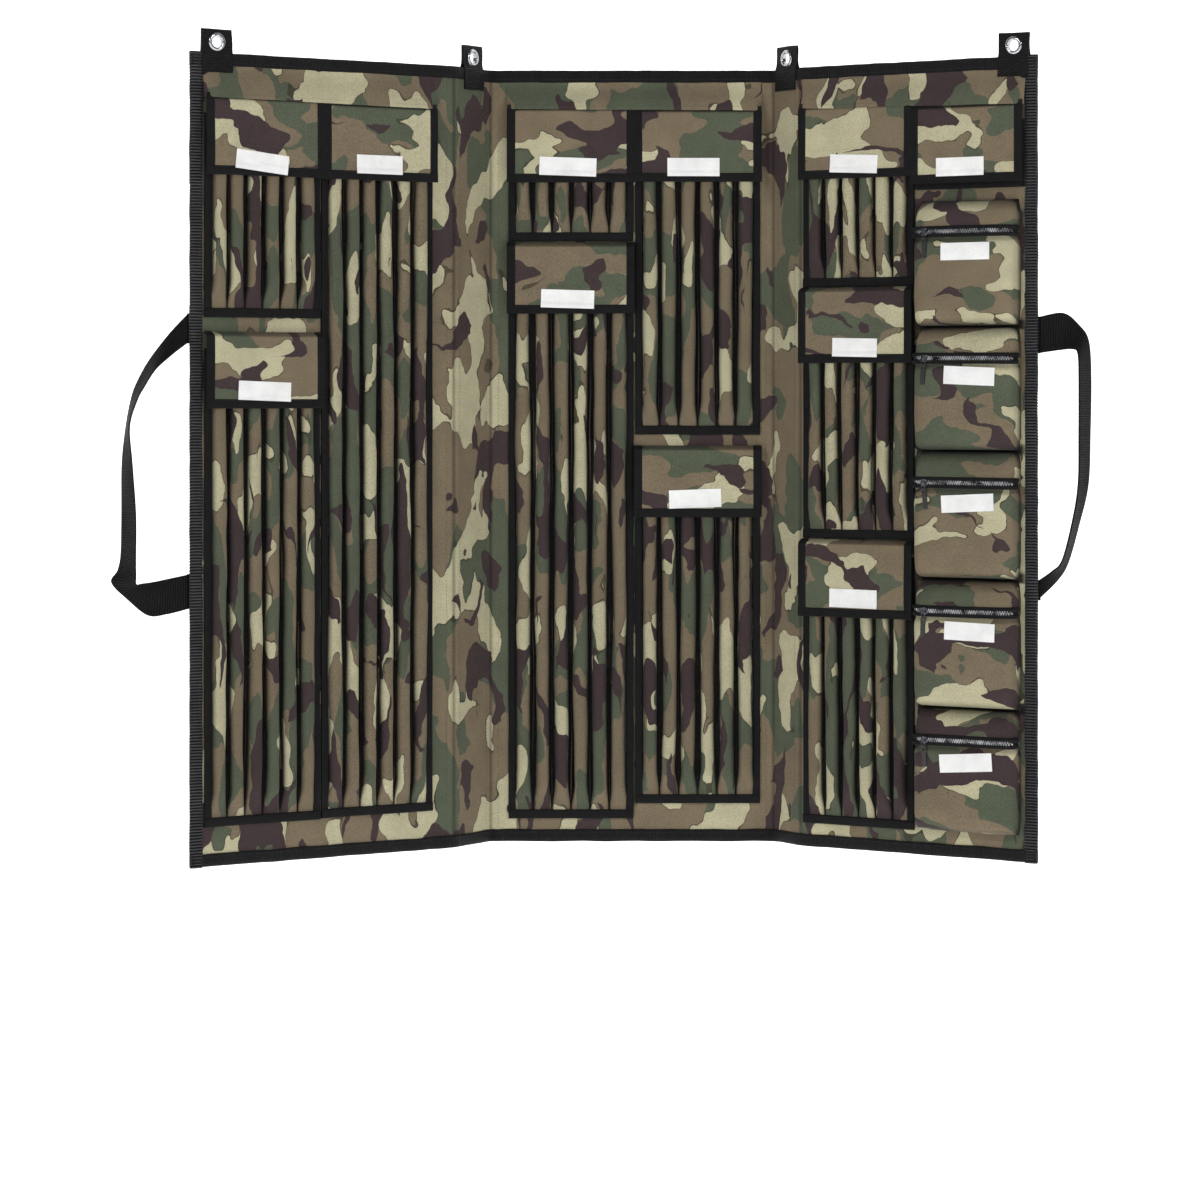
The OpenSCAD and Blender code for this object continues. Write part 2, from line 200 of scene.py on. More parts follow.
def camo(name, swap=False, dark=1.0, fine=1.0):
    """Printed woodland cloth on the fabric coordinate: four inks, crisp edges, a thin dark outline to the tan, plain weave."""
    m, nt, b = new_mat(name)
    g = G(nt)
    fab = g.attr("fab")
    sep = g.node("ShaderNodeSeparateXYZ")
    g.put(sep.inputs[0], fab)
    # blobs run long down the roll of cloth, so the short way is stretched
    comb = g.node("ShaderNodeCombineXYZ")
    sx, sy = (1.0, 0.56) if not swap else (0.6, 1.0)
    g.put(comb.inputs[0], g.math("MULTIPLY", sep.outputs[0], sx))
    g.put(comb.inputs[1], g.math("MULTIPLY", sep.outputs[1], sy))
    g.put(comb.inputs[2], sep.outputs[2])
    v = comb.outputs[0]
    if fine != 1.0:
        v = g.vmath("MULTIPLY", v, (fine, fine, 1.0))
    big = g.vmath("SUBTRACT", g.noise(v, 25, 1.0, 0.5, color=True), (0.5, 0.5, 0.5))
    mid = g.vmath("SUBTRACT", g.noise(fab, 52, 1.0, 0.5, color=True), (0.5, 0.5, 0.5))
    small = g.vmath("SUBTRACT", g.noise(fab, 150, 2.0, 0.6, color=True), (0.5, 0.5, 0.5))
    v = g.vmath("ADD", v, g.vmath("MULTIPLY", big, (0.040, 0.034, 0.0)))
    v = g.vmath("ADD", v, g.vmath("MULTIPLY", mid, (0.015, 0.014, 0.0)))
    v = g.vmath("ADD", v, g.vmath("MULTIPLY", small, (0.0016, 0.0016, 0.0)))

    def at(dx, dz):
        return g.vmath("ADD", v, (dx, dx * 0.7, dz))

    brown = g.step(g.noise(at(0.0, 0.0), 14.5, 1.3, 0.5), 0.480, 0.4815)
    n_tan = g.noise(at(3.1, 0.31), 17.0, 1.0, 0.5)
    tan = g.step(n_tan, 0.578, 0.5798)
    edge = g.math("SUBTRACT", g.step(n_tan, 0.5695, 0.5715), tan)
    n_d = g.math("ABSOLUTE", g.math("SUBTRACT", g.noise(at(7.7, 0.77), 12.5, 0.8, 0.5), 0.5))
    wide = g.math("MULTIPLY", g.math("SUBTRACT", g.noise(at(5.3, 0.53), 17.0, 1.0, 0.5), 0.473), 0.50)
    darkm = g.step(g.math("SUBTRACT", wide, n_d), 0.0, 0.0015)

    green_c, brown_c, tan_c, dark_c = srgb(77, 83, 67), srgb(111, 99, 80), srgb(170, 165, 136), srgb(58, 46, 47)
    # painted shade: a dark factor below 1 scales every ink down
    if dark != 1.0:
        green_c, brown_c, tan_c, dark_c = [tuple(list(np.array(c[:3]) * dark) + [1.0]) for c in (green_c, brown_c, tan_c, dark_c)]
    col = g.mix(brown, green_c, brown_c)
    col = g.mix(g.math("MULTIPLY", edge, 0.75), col, srgb(52, 50, 36))
    col = g.mix(tan, col, tan_c)
    col = g.mix(darkm, col, dark_c)
    # ink takes unevenly on the threads, and the cloth is a little worn and dusty
    fleck = g.step(g.noise(fab, 760, 2.0, 0.7), 0.28, 0.72, 0.70, 1.3)
    cloud = g.step(g.noise(fab, 26, 2.0, 0.6), 0.3, 0.7, 0.92, 1.08)
    wx = g.wave(fab, 0.0011, "X")
    wy = g.wave(fab, 0.0011, "Y")
    thread = g.step(g.math("ADD", wx, wy), 0.0, 2.0, 0.90, 1.08)
    k = g.math("MULTIPLY", g.math("MULTIPLY", fleck, cloud), thread)
    # painted shade: the per-vertex shade attribute darkens the cloth colour, down to 2 % where it is full
    painted_shade = g.math("POWER", g.step(g.attr("painted_shade", "Fac"), 0.0, 1.0, 1.0, 0.02), 1.25)
    k = g.math("MULTIPLY", k, painted_shade)
    kk = g.node("ShaderNodeCombineXYZ")
    for i in range(3):
        g.put(kk.inputs[i], k)
    col = g.mix(1.0, col, kk.outputs[0], "MULTIPLY")
    g.put(b.inputs["Base Color"], col)
    weave = g.math("ADD", g.math("MULTIPLY", wx, wy), g.math("MULTIPLY", g.noise(fab, 900, 1.0, 0.6), 0.6))
    rumple = g.noise(fab, 42, 2.5, 0.55)
    nrm = g.bump(rumple, 0.35, 0.0035)
    g.put(b.inputs["Normal"], g.bump(weave, 0.45, 0.00035, nrm))
    g.put(b.inputs["Roughness"], g.step(g.noise(fab, 300, 1.0, 0.5), 0.3, 0.7, 0.72, 0.92))
    b.inputs["Specular IOR Level"].default_value = 0.2
    b.inputs["Sheen Weight"].default_value = 0.04
    b.inputs["Sheen Roughness"].default_value = 0.5
    return m


def webbing(name, rib=0.0022, lo=(7, 7, 8), hi=(52, 52, 55), strength=0.9, twill=0.0016, rough=0.5, spec=0.22):
    """Ribbed nylon webbing: ribs across its run, small crossing threads; rib crests painted paler as a highlight,
    hollows darker as painted shade, with random worn patches.
    """
    m, nt, b = new_mat(name)
    g = G(nt)
    fab = g.attr("fab")
    jog = g.vmath("MULTIPLY", g.vmath("SUBTRACT", g.noise(fab, 160, 1.0, 0.5, color=True), (0.5, 0.5, 0.5)), (0.0006, 0.0009, 0))
    v = g.vmath("ADD", fab, jog)
    ribs = g.wave(v, rib, "Y")
    cross = g.wave(v, twill, "X")
    h = g.math("MULTIPLY", g.math("POWER", ribs, 0.8), g.step(cross, 0.0, 1.0, 0.62, 1.0))
    fuzz = g.noise(fab, 1400, 1.0, 0.7)
    wear = g.step(g.noise(fab, 48, 3.0, 0.6), 0.35, 0.72, 0.75, 1.25)
    # painted highlight and shade: colour follows the rib height, pale on the crests, near black in the hollows, times
    # the random wear
    k = g.math("MULTIPLY", g.math("MULTIPLY", g.math("POWER", h, 1.6), g.step(fuzz, 0.3, 0.7, 0.55, 1.3)), wear, clamp=True)
    g.put(b.inputs["Base Color"], g.mix(k, srgb(*lo), srgb(*hi)))
    g.put(b.inputs["Normal"], g.bump(g.math("ADD", h, g.math("MULTIPLY", fuzz, 0.18)), strength, 0.0008))
    g.put(b.inputs["Roughness"], g.step(fuzz, 0.3, 0.7, rough - 0.08, rough + 0.2))
    b.inputs["Specular IOR Level"].default_value = spec
    b.inputs["Sheen Weight"].default_value = 0.02
    return m


def tape_mat(name, lo=(20, 21, 22), hi=(44, 45, 47)):
    """Smooth black bias tape: fine cross grain, slightly dusty."""
    m, nt, b = new_mat(name)
    g = G(nt)
    fab = g.attr("fab")
    grain = g.wave(fab, 0.0009, "Y", 0.0)
    fuzz = g.noise(fab, 1100, 2.0, 0.7)
    cloud = g.noise(fab, 70, 2.0, 0.6)
    k = g.math("ADD", g.math("MULTIPLY", grain, 0.3), g.math("ADD", g.math("MULTIPLY", fuzz, 0.45), g.math("MULTIPLY", cloud, 0.4)))
    k = g.step(k, 0.3, 0.95)
    g.put(b.inputs["Base Color"], g.mix(k, srgb(*lo), srgb(*hi)))
    g.put(b.inputs["Normal"], g.bump(g.math("ADD", grain, fuzz), 0.45, 0.0004))
    g.put(b.inputs["Roughness"], g.step(fuzz, 0.3, 0.7, 0.6, 0.85))
    b.inputs["Specular IOR Level"].default_value = 0.14
    b.inputs["Sheen Weight"].default_value = 0.02
    return m


def card_mat():
    m, nt, b = new_mat("card_white")
    g = G(nt)
    fab = g.attr("fab")
    fibre = g.noise(fab, 420, 3.0, 0.6)
    smudge = g.noise(fab, 38, 2.0, 0.6)
    k = g.step(g.math("ADD", g.math("MULTIPLY", fibre, 0.4), g.math("MULTIPLY", smudge, 0.6)), 0.3, 0.7)
    g.put(b.inputs["Base Color"], g.mix(k, srgb(208, 208, 208), srgb(233, 233, 232)))
    g.put(b.inputs["Normal"], g.bump(g.math("ADD", fibre, g.math("MULTIPLY", smudge, 2.0)), 0.25, 0.0005))
    g.put(b.inputs["Roughness"], g.step(fibre, 0.3, 0.7, 0.45, 0.65))
    return m


def hard(name, c0, c1, metal=0.0, rough=(0.3, 0.5), scale=260.0, bump=0.12, coat=0.0):
    """Moulded plastic or plated metal, with fine grain, scuffs and uneven gloss, on its own object coordinate."""
    m, nt, b = new_mat(name)
    g = G(nt)
    tc = g.node("ShaderNodeTexCoord").outputs["Object"]
    n1 = g.noise(tc, scale, 3.0, 0.65)
    n2 = g.noise(tc, scale * 5.2, 1.0, 0.5)
    scuff = g.step(g.noise(g.vmath("MULTIPLY", tc, (1.0, 1.0, 6.0)), scale * 1.6, 2.0, 0.7), 0.62, 0.7)
    # colour noise between c0 and c1; on the zip teeth the range is wide and its bright patches are painted glints
    g.put(b.inputs["Base Color"], g.mix(g.math("MULTIPLY", scuff, 0.6), g.mix(g.step(n1, 0.35, 0.65), srgb(*c0), srgb(*c1)), srgb(*[min(255, c + 40) for c in c1])))
    g.put(b.inputs["Normal"], g.bump(g.math("ADD", n1, n2), bump, 0.0003))
    g.put(b.inputs["Roughness"], g.step(g.math("ADD", n1, g.math("MULTIPLY", scuff, 0.5)), 0.3, 1.0, rough[0], rough[1]))
    b.inputs["Metallic"].default_value = metal
    if coat:
        b.inputs["Coat Weight"].default_value = coat
    return m


def thread_mat(name, c0, c1):
    m, nt, b = new_mat(name)
    g = G(nt)
    tc = g.node("ShaderNodeTexCoord").outputs["Object"]
    n = g.noise(tc, 2600, 2.0, 0.6)
    g.put(b.inputs["Base Color"], g.mix(g.step(n, 0.3, 0.7), srgb(*c0), srgb(*c1)))
    g.put(b.inputs["Normal"], g.bump(n, 0.4, 0.0003))
    b.inputs["Roughness"].default_value = 0.6
    return m


def vinyl_mat():
    m, nt, b = new_mat("clear_vinyl")
    g = G(nt)
    tc = g.node("ShaderNodeTexCoord").outputs["Object"]
    n = g.noise(tc, 32, 2.5, 0.6)
    f = g.noise(tc, 500, 1.0, 0.6)
    g.put(b.inputs["Base Color"], g.mix(g.step(n, 0.35, 0.65), srgb(176, 184, 186), srgb(216, 221, 222)))
    g.put(b.inputs["Roughness"], g.step(n, 0.3, 0.7, 0.08, 0.25))
    g.put(b.inputs["Normal"], g.bump(g.math("ADD", n, g.math("MULTIPLY", f, 0.1)), 0.5, 0.003))
    b.inputs["Alpha"].default_value = 0.45
    b.inputs["Coat Weight"].default_value = 0.6
    return m


M_PANEL = camo("camo_panel", fine=1.12)
M_CROSS = camo("camo_cross", swap=True, fine=1.12)
# painted shade: the tube cloth is the panel camo darkened to 0.88 for the deep pleats
M_TUBE = camo("camo_tube", dark=0.88, fine=1.22)
M_BIND = webbing("binding_webbing", rib=0.0024, lo=(1, 1, 2), hi=(33, 33, 35), spec=0.14)
M_SIDE = webbing("side_binding_webbing", rib=0.0038, lo=(0, 0, 1), hi=(76, 76, 78), strength=0.9, spec=0.14)
M_TAB = webbing("tab_webbing", rib=0.0024, lo=(1, 1, 2), hi=(30, 30, 32), twill=0.003, spec=0.14)
M_STRAP = webbing("strap_webbing", rib=0.0032, lo=(0, 0, 1), hi=(28, 28, 30), twill=0.003, spec=0.1)
M_TAPE = tape_mat("bias_tape", (3, 3, 4), (25, 25, 27))
M_ZTAPE = tape_mat("zip_tape", (7, 7, 8), (26, 26, 28))
M_CARD = card_mat()
M_NICKEL = hard("nickel", (150, 152, 156), (188, 189, 192), metal=1.0, rough=(0.14, 0.34))
# painted glints: noise patches on the zip teeth run from near black to near white
M_TEETH = hard("zip_teeth", (22, 22, 24), (196, 197, 200), metal=0.35, rough=(0.12, 0.3), scale=70)
M_SLIDER = hard("slider_metal", (30, 31, 34), (96, 98, 102), metal=0.7, rough=(0.15, 0.35))
M_PLASTIC = hard("buckle_plastic", (16, 16, 18), (26, 26, 29), rough=(0.3, 0.5), scale=420, coat=0.15)
M_VINYL = vinyl_mat()
M_THREAD_D = thread_mat("thread_dark", (40, 32, 24), (66, 54, 40))
M_THREAD_B = thread_mat("thread_black", (14, 14, 15), (46, 46, 48))
M_THREAD_O = thread_mat("thread_olive", (84, 80, 58), (120, 114, 86))

# ---------------------------------------------------------------- mesh helpers
PIECES = {}


def make(name, V, F, mat, body, fab=None, painted_shade=None, smooth_shade=True, slot=None, keep_uv=False):
    """A mesh object from points in metres, with its fabric coordinate in metres."""
    me = bpy.data.meshes.new(name)
    V = np.asarray(V, float).reshape(-1, 3)
    me.from_pydata(V.tolist(), [], F)
    me.update()
    if fab is not None:
        a = me.attributes.new("fab", "FLOAT_VECTOR", "POINT")
        a.data.foreach_set("vector", np.asarray(fab, np.float32).reshape(-1))
    if painted_shade is not None:
        a = me.attributes.new("painted_shade", "FLOAT", "POINT")
        a.data.foreach_set("value", np.asarray(painted_shade, np.float32).reshape(-1))
    if smooth_shade:
        me.polygons.foreach_set("use_smooth", [True] * len(me.polygons))
        me.set_sharp_from_angle(angle=math.radians(52))
    ob = bpy.data.objects.new(name, me)
    bpy.context.scene.collection.objects.link(ob)
    me.materials.append(mat)
    if body:
        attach(ob, body)
    PIECES[name] = ob
    return ob


def join_parts(parts):
    """[(V, F, fab, occ)] to one set of arrays."""
    Vs, Fs, fabs, occs, n = [], [], [], [], 0
    for p in parts:
        V, F = np.asarray(p[0], float).reshape(-1, 3), p[1]
        Vs.append(V)
        Fs += [tuple(i + n for i in f) for f in F]
        fabs.append(np.asarray(p[2], float).reshape(-1, 3))
        occs.append(np.zeros(len(V)) if len(p) < 4 or p[3] is None else np.asarray(p[3], float).reshape(-1))
        n += len(V)
    return np.vstack(Vs), Fs, np.vstack(fabs), np.concatenate(occs)


def slab(Q, Qb, fab, painted_shade=None, occ_b=None, loc=None, keep=None):
    """A closed sheet: front grid Q (n, m, 3) and back grid Qb, walled all round. keep (n-1, m-1) leaves cells out for a hole."""
    n, m = Q.shape[:2]
    P = np.concatenate([Q.reshape(-1, 3), Qb.reshape(-1, 3)])
    if loc is not None:
        P = loc.p(P)
    F, edges = [], {}
    k = n * m
    for i in range(n - 1):
        for j in range(m - 1):
            if keep is not None and not keep[i, j]:
                continue
            a, b_, c, d_ = i * m + j, (i + 1) * m + j, (i + 1) * m + j + 1, i * m + j + 1
            F.append((a, b_, c, d_))
            F.append((a + k, d_ + k, c + k, b_ + k))
            for e in ((a, b_), (b_, c), (c, d_), (d_, a)):
                edges[e] = 1
    for (u, v) in list(edges):
        if (v, u) not in edges:
            F.append((v, u, u + k, v + k))
    fb = np.concatenate([np.asarray(fab).reshape(-1, 3)] * 2)
    if painted_shade is None:
        oc = np.zeros(2 * k)
    else:
        oc = np.concatenate([np.asarray(painted_shade).reshape(-1), (np.asarray(painted_shade if occ_b is None else occ_b)).reshape(-1)])
    if keep is not None:
        used = sorted({i for f in F for i in f})
        new = {o: i for i, o in enumerate(used)}
        F = [tuple(new[i] for i in f) for f in F]
        P, fb, oc = P[used], fb[used], oc[used]
    return P, F, fb, oc


def sweep(prof, O, A, B, seed=0.0, s=None, closed=True, cap=True, arc=False):
    """A closed profile carried along stations. prof (K, 2); O, A, B (N, 3) in local millimetres. fab is (across, along, seed) in metres."""
    prof = np.asarray(prof, float)
    O, A, B = [np.asarray(a, float) for a in (O, A, B)]
    N, K = len(O), len(prof)
    V = O[:, None] + prof[None, :, 0:1] * A[:, None] + prof[None, :, 1:2] * B[:, None]
    if s is None:
        s = np.concatenate([[0], np.cumsum(np.linalg.norm(np.diff(O, axis=0), axis=1))])
    tt = np.concatenate([[0], np.cumsum(np.linalg.norm(np.diff(prof, axis=0), axis=1))])
    fab = np.zeros((N, K, 3))
    fab[..., 0] = (tt if arc else prof[:, 0])[None] * 0.001
    fab[..., 1] = s[:, None] * 0.001
    fab[..., 2] = seed
    F = []
    for i in range(N - 1):
        for j in range(K if closed else K - 1):
            j2 = (j + 1) % K
            F.append((i * K + j, i * K + j2, (i + 1) * K + j2, (i + 1) * K + j))
    if cap and closed:
        F.append(tuple(range(K - 1, -1, -1)))
        F.append(tuple((N - 1) * K + j for j in range(K)))
    return V, F, fab


def flat_prof(w, h, edge=0.9, crown=0.0, n=9):
    """A flat band's cross-section: rounded selvages and a slight crown on its outer face. x across, y up from its underside."""
    xs = np.linspace(-w / 2 + edge, w / 2 - edge, n)
    top = [(x, h + crown * (1 - (2 * x / w) ** 2)) for x in xs]
    bot = [(x, 0.0) for x in xs[::-1]]
    return [(-w / 2, h * 0.35), (-w / 2 + edge * 0.3, h * 0.85)] + top + [(w / 2 - edge * 0.3, h * 0.85), (w / 2, h * 0.35), (w / 2 - edge * 0.3, h * 0.05)] + bot + [(-w / 2 + edge * 0.3, h * 0.05)]


def stitches(points, normals, length=2.6, gap=1.0, w=0.55, h=0.35, skip=()):
    """Thread along a line of local points: small flat lozenges standing just proud of the cloth. Returns (V, F, fab)."""
    P, Nn = np.asarray(points, float), np.asarray(normals, float)
    seg = np.linalg.norm(np.diff(P, axis=0), axis=1)
    cum = np.concatenate([[0], np.cumsum(seg)])
    total, step = cum[-1], length + gap
    V, F = [], []
    s = gap
    while s + length < total:
        def at(q):
            return np.array([np.interp(q, cum, P[:, i]) for i in range(3)])
        a, b_ = at(s), at(s + length)
        nn = np.array([np.interp(s + length / 2, cum, Nn[:, i]) for i in range(3)])
        nn /= np.linalg.norm(nn)
        t = (b_ - a) / np.linalg.norm(b_ - a)
        side = np.cross(t, nn)
        mid = (a + b_) / 2
        base = len(V)
        V += [a - nn * 0.15, b_ - nn * 0.15, mid + side * w / 2 - nn * 0.05, mid - side * w / 2 - nn * 0.05, mid + nn * h + t * length * 0.18, mid + nn * h - t * length * 0.18]
        a_, b2, r, l, u1, u2 = range(base, base + 6)
        F += [(b2, u1, r), (r, u1, u2), (r, u2, a_), (a_, u2, l), (l, u2, u1), (l, u1, b2), (a_, l, b2), (a_, b2, r)]
        s += step
    return (np.array(V).reshape(-1, 3), F, np.zeros((len(V), 3)))


STITCH = {}


def sew(key, part, loc):
    """Collects thread by (body, material) so that each body has a few sewing pieces."""
    STITCH.setdefault(key, []).append((loc.p(part[0]) if len(part[0]) else part[0], part[1], part[2]))


def line(x0, t0, x1, t1, d, step=4.0):
    n = max(2, int(math.hypot(x1 - x0, t1 - t0) / step))
    xs, ts = np.linspace(x0, x1, n), np.linspace(t0, t1, n)
    dd = d(xs, ts) if callable(d) else np.full(n, float(d))
    return np.stack([xs, dd, ts], 1)


def out_n(n, s=1.0):
    return np.tile([0.0, s, 0.0], (n, 1))


def sew_line(key, loc, x0, t0, x1, t1, d, s=1.0, **kw):
    P = line(x0, t0, x1, t1, d)
    sew(key, stitches(P, out_n(len(P), s), **kw), loc)

# ---------------------------------------------------------------- boards, folds and bindings
def grid(xs, ts):
    X, T = np.meshgrid(xs, ts)
    return X, T


def fabc(loc, X, T, seed):
    return np.stack([(loc.u0 + loc.us * X) * 0.001, T * 0.001, np.full_like(X, seed)], -1)


def board(name, loc, x0, x1, node, tl, tr):
    """A covered board; it stops short of each fold, where the fold strip takes over."""
    xs, ts = np.linspace(x0, x1, max(8, int((x1 - x0) / 9))), np.linspace(1.0, H - 1.0, 330 if name == "right_wing_cover" else 110)
    X, T = grid(xs, ts)
    U = loc.u0 + X
    free = np.minimum(smooth(X, x0, x0 + 25) if tl else 1, smooth(-X, -x1, -x1 + 25) if tr else 1)
    shade = 0 * X
    if name == "right_wing_cover":
        near = smooth(X, 165, 172) * smooth(-X, -325, -318)
        for ga, gb in ((333, 343), (492, 502), (653, 664), (818, 829)):
            shade = np.maximum(shade, near * smooth(T, ga - 3, ga) * smooth(-T, -gb - 3, -gb) * 0.95)
        shade = np.maximum(shade, 0.55 * smooth(X, 160, 170) * smooth(-X, -182, -176) * smooth(T, 176, 190) * smooth(-T, -988, -976))
    w = 0.28 * wob(U / 34, T / 46, 11) * smooth(T, 16, 40) * smooth(-T, -H + 16, -H + 40) * free
    Q = np.stack([X, HB + w - 0.05, T], -1)
    Qb = np.stack([X, -HB + 0.25 * wob(U / 37, T / 41, 12) * free, T], -1)
    ob = make(name, *slab(Q, Qb, fabc(loc, X, T, 0.37), loc=loc)[:2], M_PANEL, loc.body,
              fab=np.concatenate([fabc(loc, X, T, 0.37).reshape(-1, 3), fabc(loc, X, T, 1.13).reshape(-1, 3)]),
              painted_shade=np.concatenate([shade.ravel(), 0 * shade.ravel()]), slot="camo_fabric")
    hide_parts(node)
    return ob


T1 = 8.0
board("centre_board_cover", C, -CH + T1, CH - T1, "centre_panel", True, True)
board("left_spine_cover", LSP, -LS + T1, -T1, "left_spine", True, True)
board("right_spine_cover", RSP, T1, RS - T1, "right_spine", True, True)
board("left_wing_cover", LWG, -LW + 1.5, -T1, "left_panel", False, True)
board("right_wing_cover", RWG, T1, RW - 1.5, "right_panel", True, False)


def fold_arc(A, xa, B, xb, sa, n=11):
    """Stations across a fold from x = xa in A to x = xb in B; the fold line is at xa + sa*T1 in A."""
    p0 = A.o + xa * A.ex
    pc = A.o + (xa + sa * T1) * A.ex
    p1 = B.o + xb * B.ex
    s = np.linspace(0, 1, n)[:, None]
    c = (1 - s) ** 2 * p0 + 2 * s * (1 - s) * pc + s ** 2 * p1
    tan = 2 * (1 - s) * (pc - p0) + 2 * s * (p1 - pc)
    tan /= np.linalg.norm(tan, axis=1)[:, None]
    nrm = np.stack([tan[:, 1], -tan[:, 0]], 1) * (1 if sa > 0 else -1)
    ln = np.concatenate([[0], np.cumsum(np.linalg.norm(np.diff(c, axis=0), axis=1))])
    return c, nrm, ln


def fold_strip(name, A, xa, B, xb, sa, mat, d0, d1, t0, t1, seed, nodes=(), rows=110, slot="camo_fabric", crease=0.9):
    """Cloth that crosses a joint, curved round the fold between the two panels; it is built in place and tied to
    neither body. d0 and d1 are its back and front from the middle of the boards.
    """
    c, nrm, ln = fold_arc(A, xa, B, xb, sa)
    ts = np.linspace(t0, t1, rows)
    mid = np.exp(-((np.linspace(-1, 1, len(c))) / 0.34) ** 2)
    V = []
    for dd, sg in ((d1, 1), (d0, -1)):
        g = np.zeros((rows, len(c), 3))
        off = dd - sg * crease * mid * (1 if abs(d1 - d0) > 2 else 0)
        wv = 0.18 * wob(np.linspace(0, 1, len(c))[None] * 2, ts[:, None] / 30, 77)
        xy = c[None] + nrm[None] * (off[None, :, None] + wv[..., None] * mid[None, :, None])
        g[..., 0:2] = xy
        g[..., 2] = -UP - ts[:, None]
        V.append(g)
    order = slice(None) if sa > 0 else slice(None, None, -1)
    Qf, Qr = V[0][:, order], V[1][:, order]
    u = (A.u0 + xa) + (ln if sa > 0 else -ln)
    U = np.tile(u[order], (rows, 1))
    fab = np.stack([U * 0.001, np.tile(ts[:, None] * 0.001, (1, len(c))), np.full(U.shape, seed)], -1)
    # painted shade along the crease in the middle of the fold
    painted_shade = np.tile((0.42 * mid)[order], (rows, 1))
    P, F, fb, oc = slab(Qf, Qr, fab, painted_shade=painted_shade)
    ob = make(name, P * 0.001, F, mat, None, fab=fb, painted_shade=oc, slot=slot)
    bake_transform(ob)
    return ob


FOLDS = [("left_inner", C, -CH + T1, LSP, -T1, -1), ("right_inner", C, CH - T1, RSP, T1, 1),
         ("left_outer", LSP, -LS + T1, LWG, -T1, -1), ("right_outer", RSP, RS - T1, RWG, T1, 1)]
for nm, A, xa, B, xb, sa in FOLDS:
    fold_strip(f"fold_{nm}", A, xa, B, xb, sa, M_PANEL, -HB, HB - 0.05, 1.0, H - 1.0, 0.37)

U_PROF = [(15.5, 2.15), (15.6, 2.9), (15.1, 3.35), (13.5, 3.5), (10, 3.62), (6, 3.62), (2.6, 3.5), (1.0, 3.1), (0.0, 2.3), (-0.55, 1.2), (-0.7, 0),
          (-0.55, -1.2), (0.0, -2.3), (1.0, -3.1), (2.6, -3.5), (6, -3.62), (10, -3.62), (13.5, -3.5), (15.1, -3.35), (15.6, -2.9), (15.5, -2.15),
          (8, -2.1), (1.2, -2.0), (0.5, 0), (1.2, 2.0), (8, 2.1)]


def binding(name, loc, edge, a0, a1, nodes, along="x", s=1, seed=5, mat=None, ribs=None):
    """Webbing folded over an edge. along x: edge is its t; along t: edge is its x. s points from the edge into the panel."""
    n = max(6, int(abs(a1 - a0) / (7 if ribs is None else ribs / 4)))
    q = np.linspace(a0, a1, n)
    wv = 0.55 * wob(q / 22, q * 0 + seed, seed) + 0.35 * wob(q / 7, q * 0, seed + 1)
    wd = 0.16 * wob(q / 13, q * 0 + 2, seed + 2)
    if along == "x":
        O = np.stack([q, wd, edge + wv * 0.6 * s], 1)
        A = np.tile([0, 0, s], (n, 1))
    else:
        O = np.stack([edge + wv * 0.7 * s, wd, q], 1)
        A = np.tile([s, 0, 0], (n, 1))
    A = A * (1 + 0.03 * wob(q / 18, q * 0, seed + 3))[:, None]
    B = np.tile([0, 1.0, 0], (n, 1))
    flip = (s > 0) == (along == "x")
    prof = U_PROF if flip else U_PROF[::-1]
    V, F, fab = sweep(prof, O, A, B, seed=seed * 0.1, arc=True)
    if ribs is not None:
        pr = np.array(prof)
        outer = (np.abs(pr[:, 1]) > 2.12) | (pr[:, 0] < 0.3)
        c = np.array([8.0, 0.0])
        dirv = (pr - c) / np.linalg.norm((pr - c) * np.array([0.25, 1]), axis=1)[:, None] * np.array([0.25, 1])
        amp = 0.42 * np.sin(2 * math.pi * q / ribs) * (1 + 0.35 * wob(q / 11, q * 0, seed + 9))
        V = V + (outer[None, :] * amp[:, None])[..., None] * (dirv[None, :, 0:1] * A[:, None] + dirv[None, :, 1:2] * B[:, None])
        fab[..., 1] = q[:, None] * 0.001
    ob = make(name, loc.p(V.reshape(-1, 3)), F, mat or M_BIND, loc.body, fab=fab, slot="black_webbing")
    if nodes:
        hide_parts(*nodes)
    return ob


def bind_stitch(loc, edge, a0, a1, along, s, seed):
    for dd, sg in ((3.62, 1), (-3.62, -1)):
        e = edge + s * 11.8
        if along == "x":
            P = line(a0, e, a1, e, lambda x, t: np.full_like(x, dd))
        else:
            P = line(e, a0, e, a1, lambda x, t: np.full_like(x, dd))
        w = 0.4 * wob((P[:, 0] + P[:, 2]) / 25, P[:, 0] * 0, seed)
        P[:, 2 if along == "x" else 0] += w
        sew((loc.body, "thread_black"), stitches(P, out_n(len(P), sg), length=2.6, gap=1.1, w=0.6, h=0.28), loc)


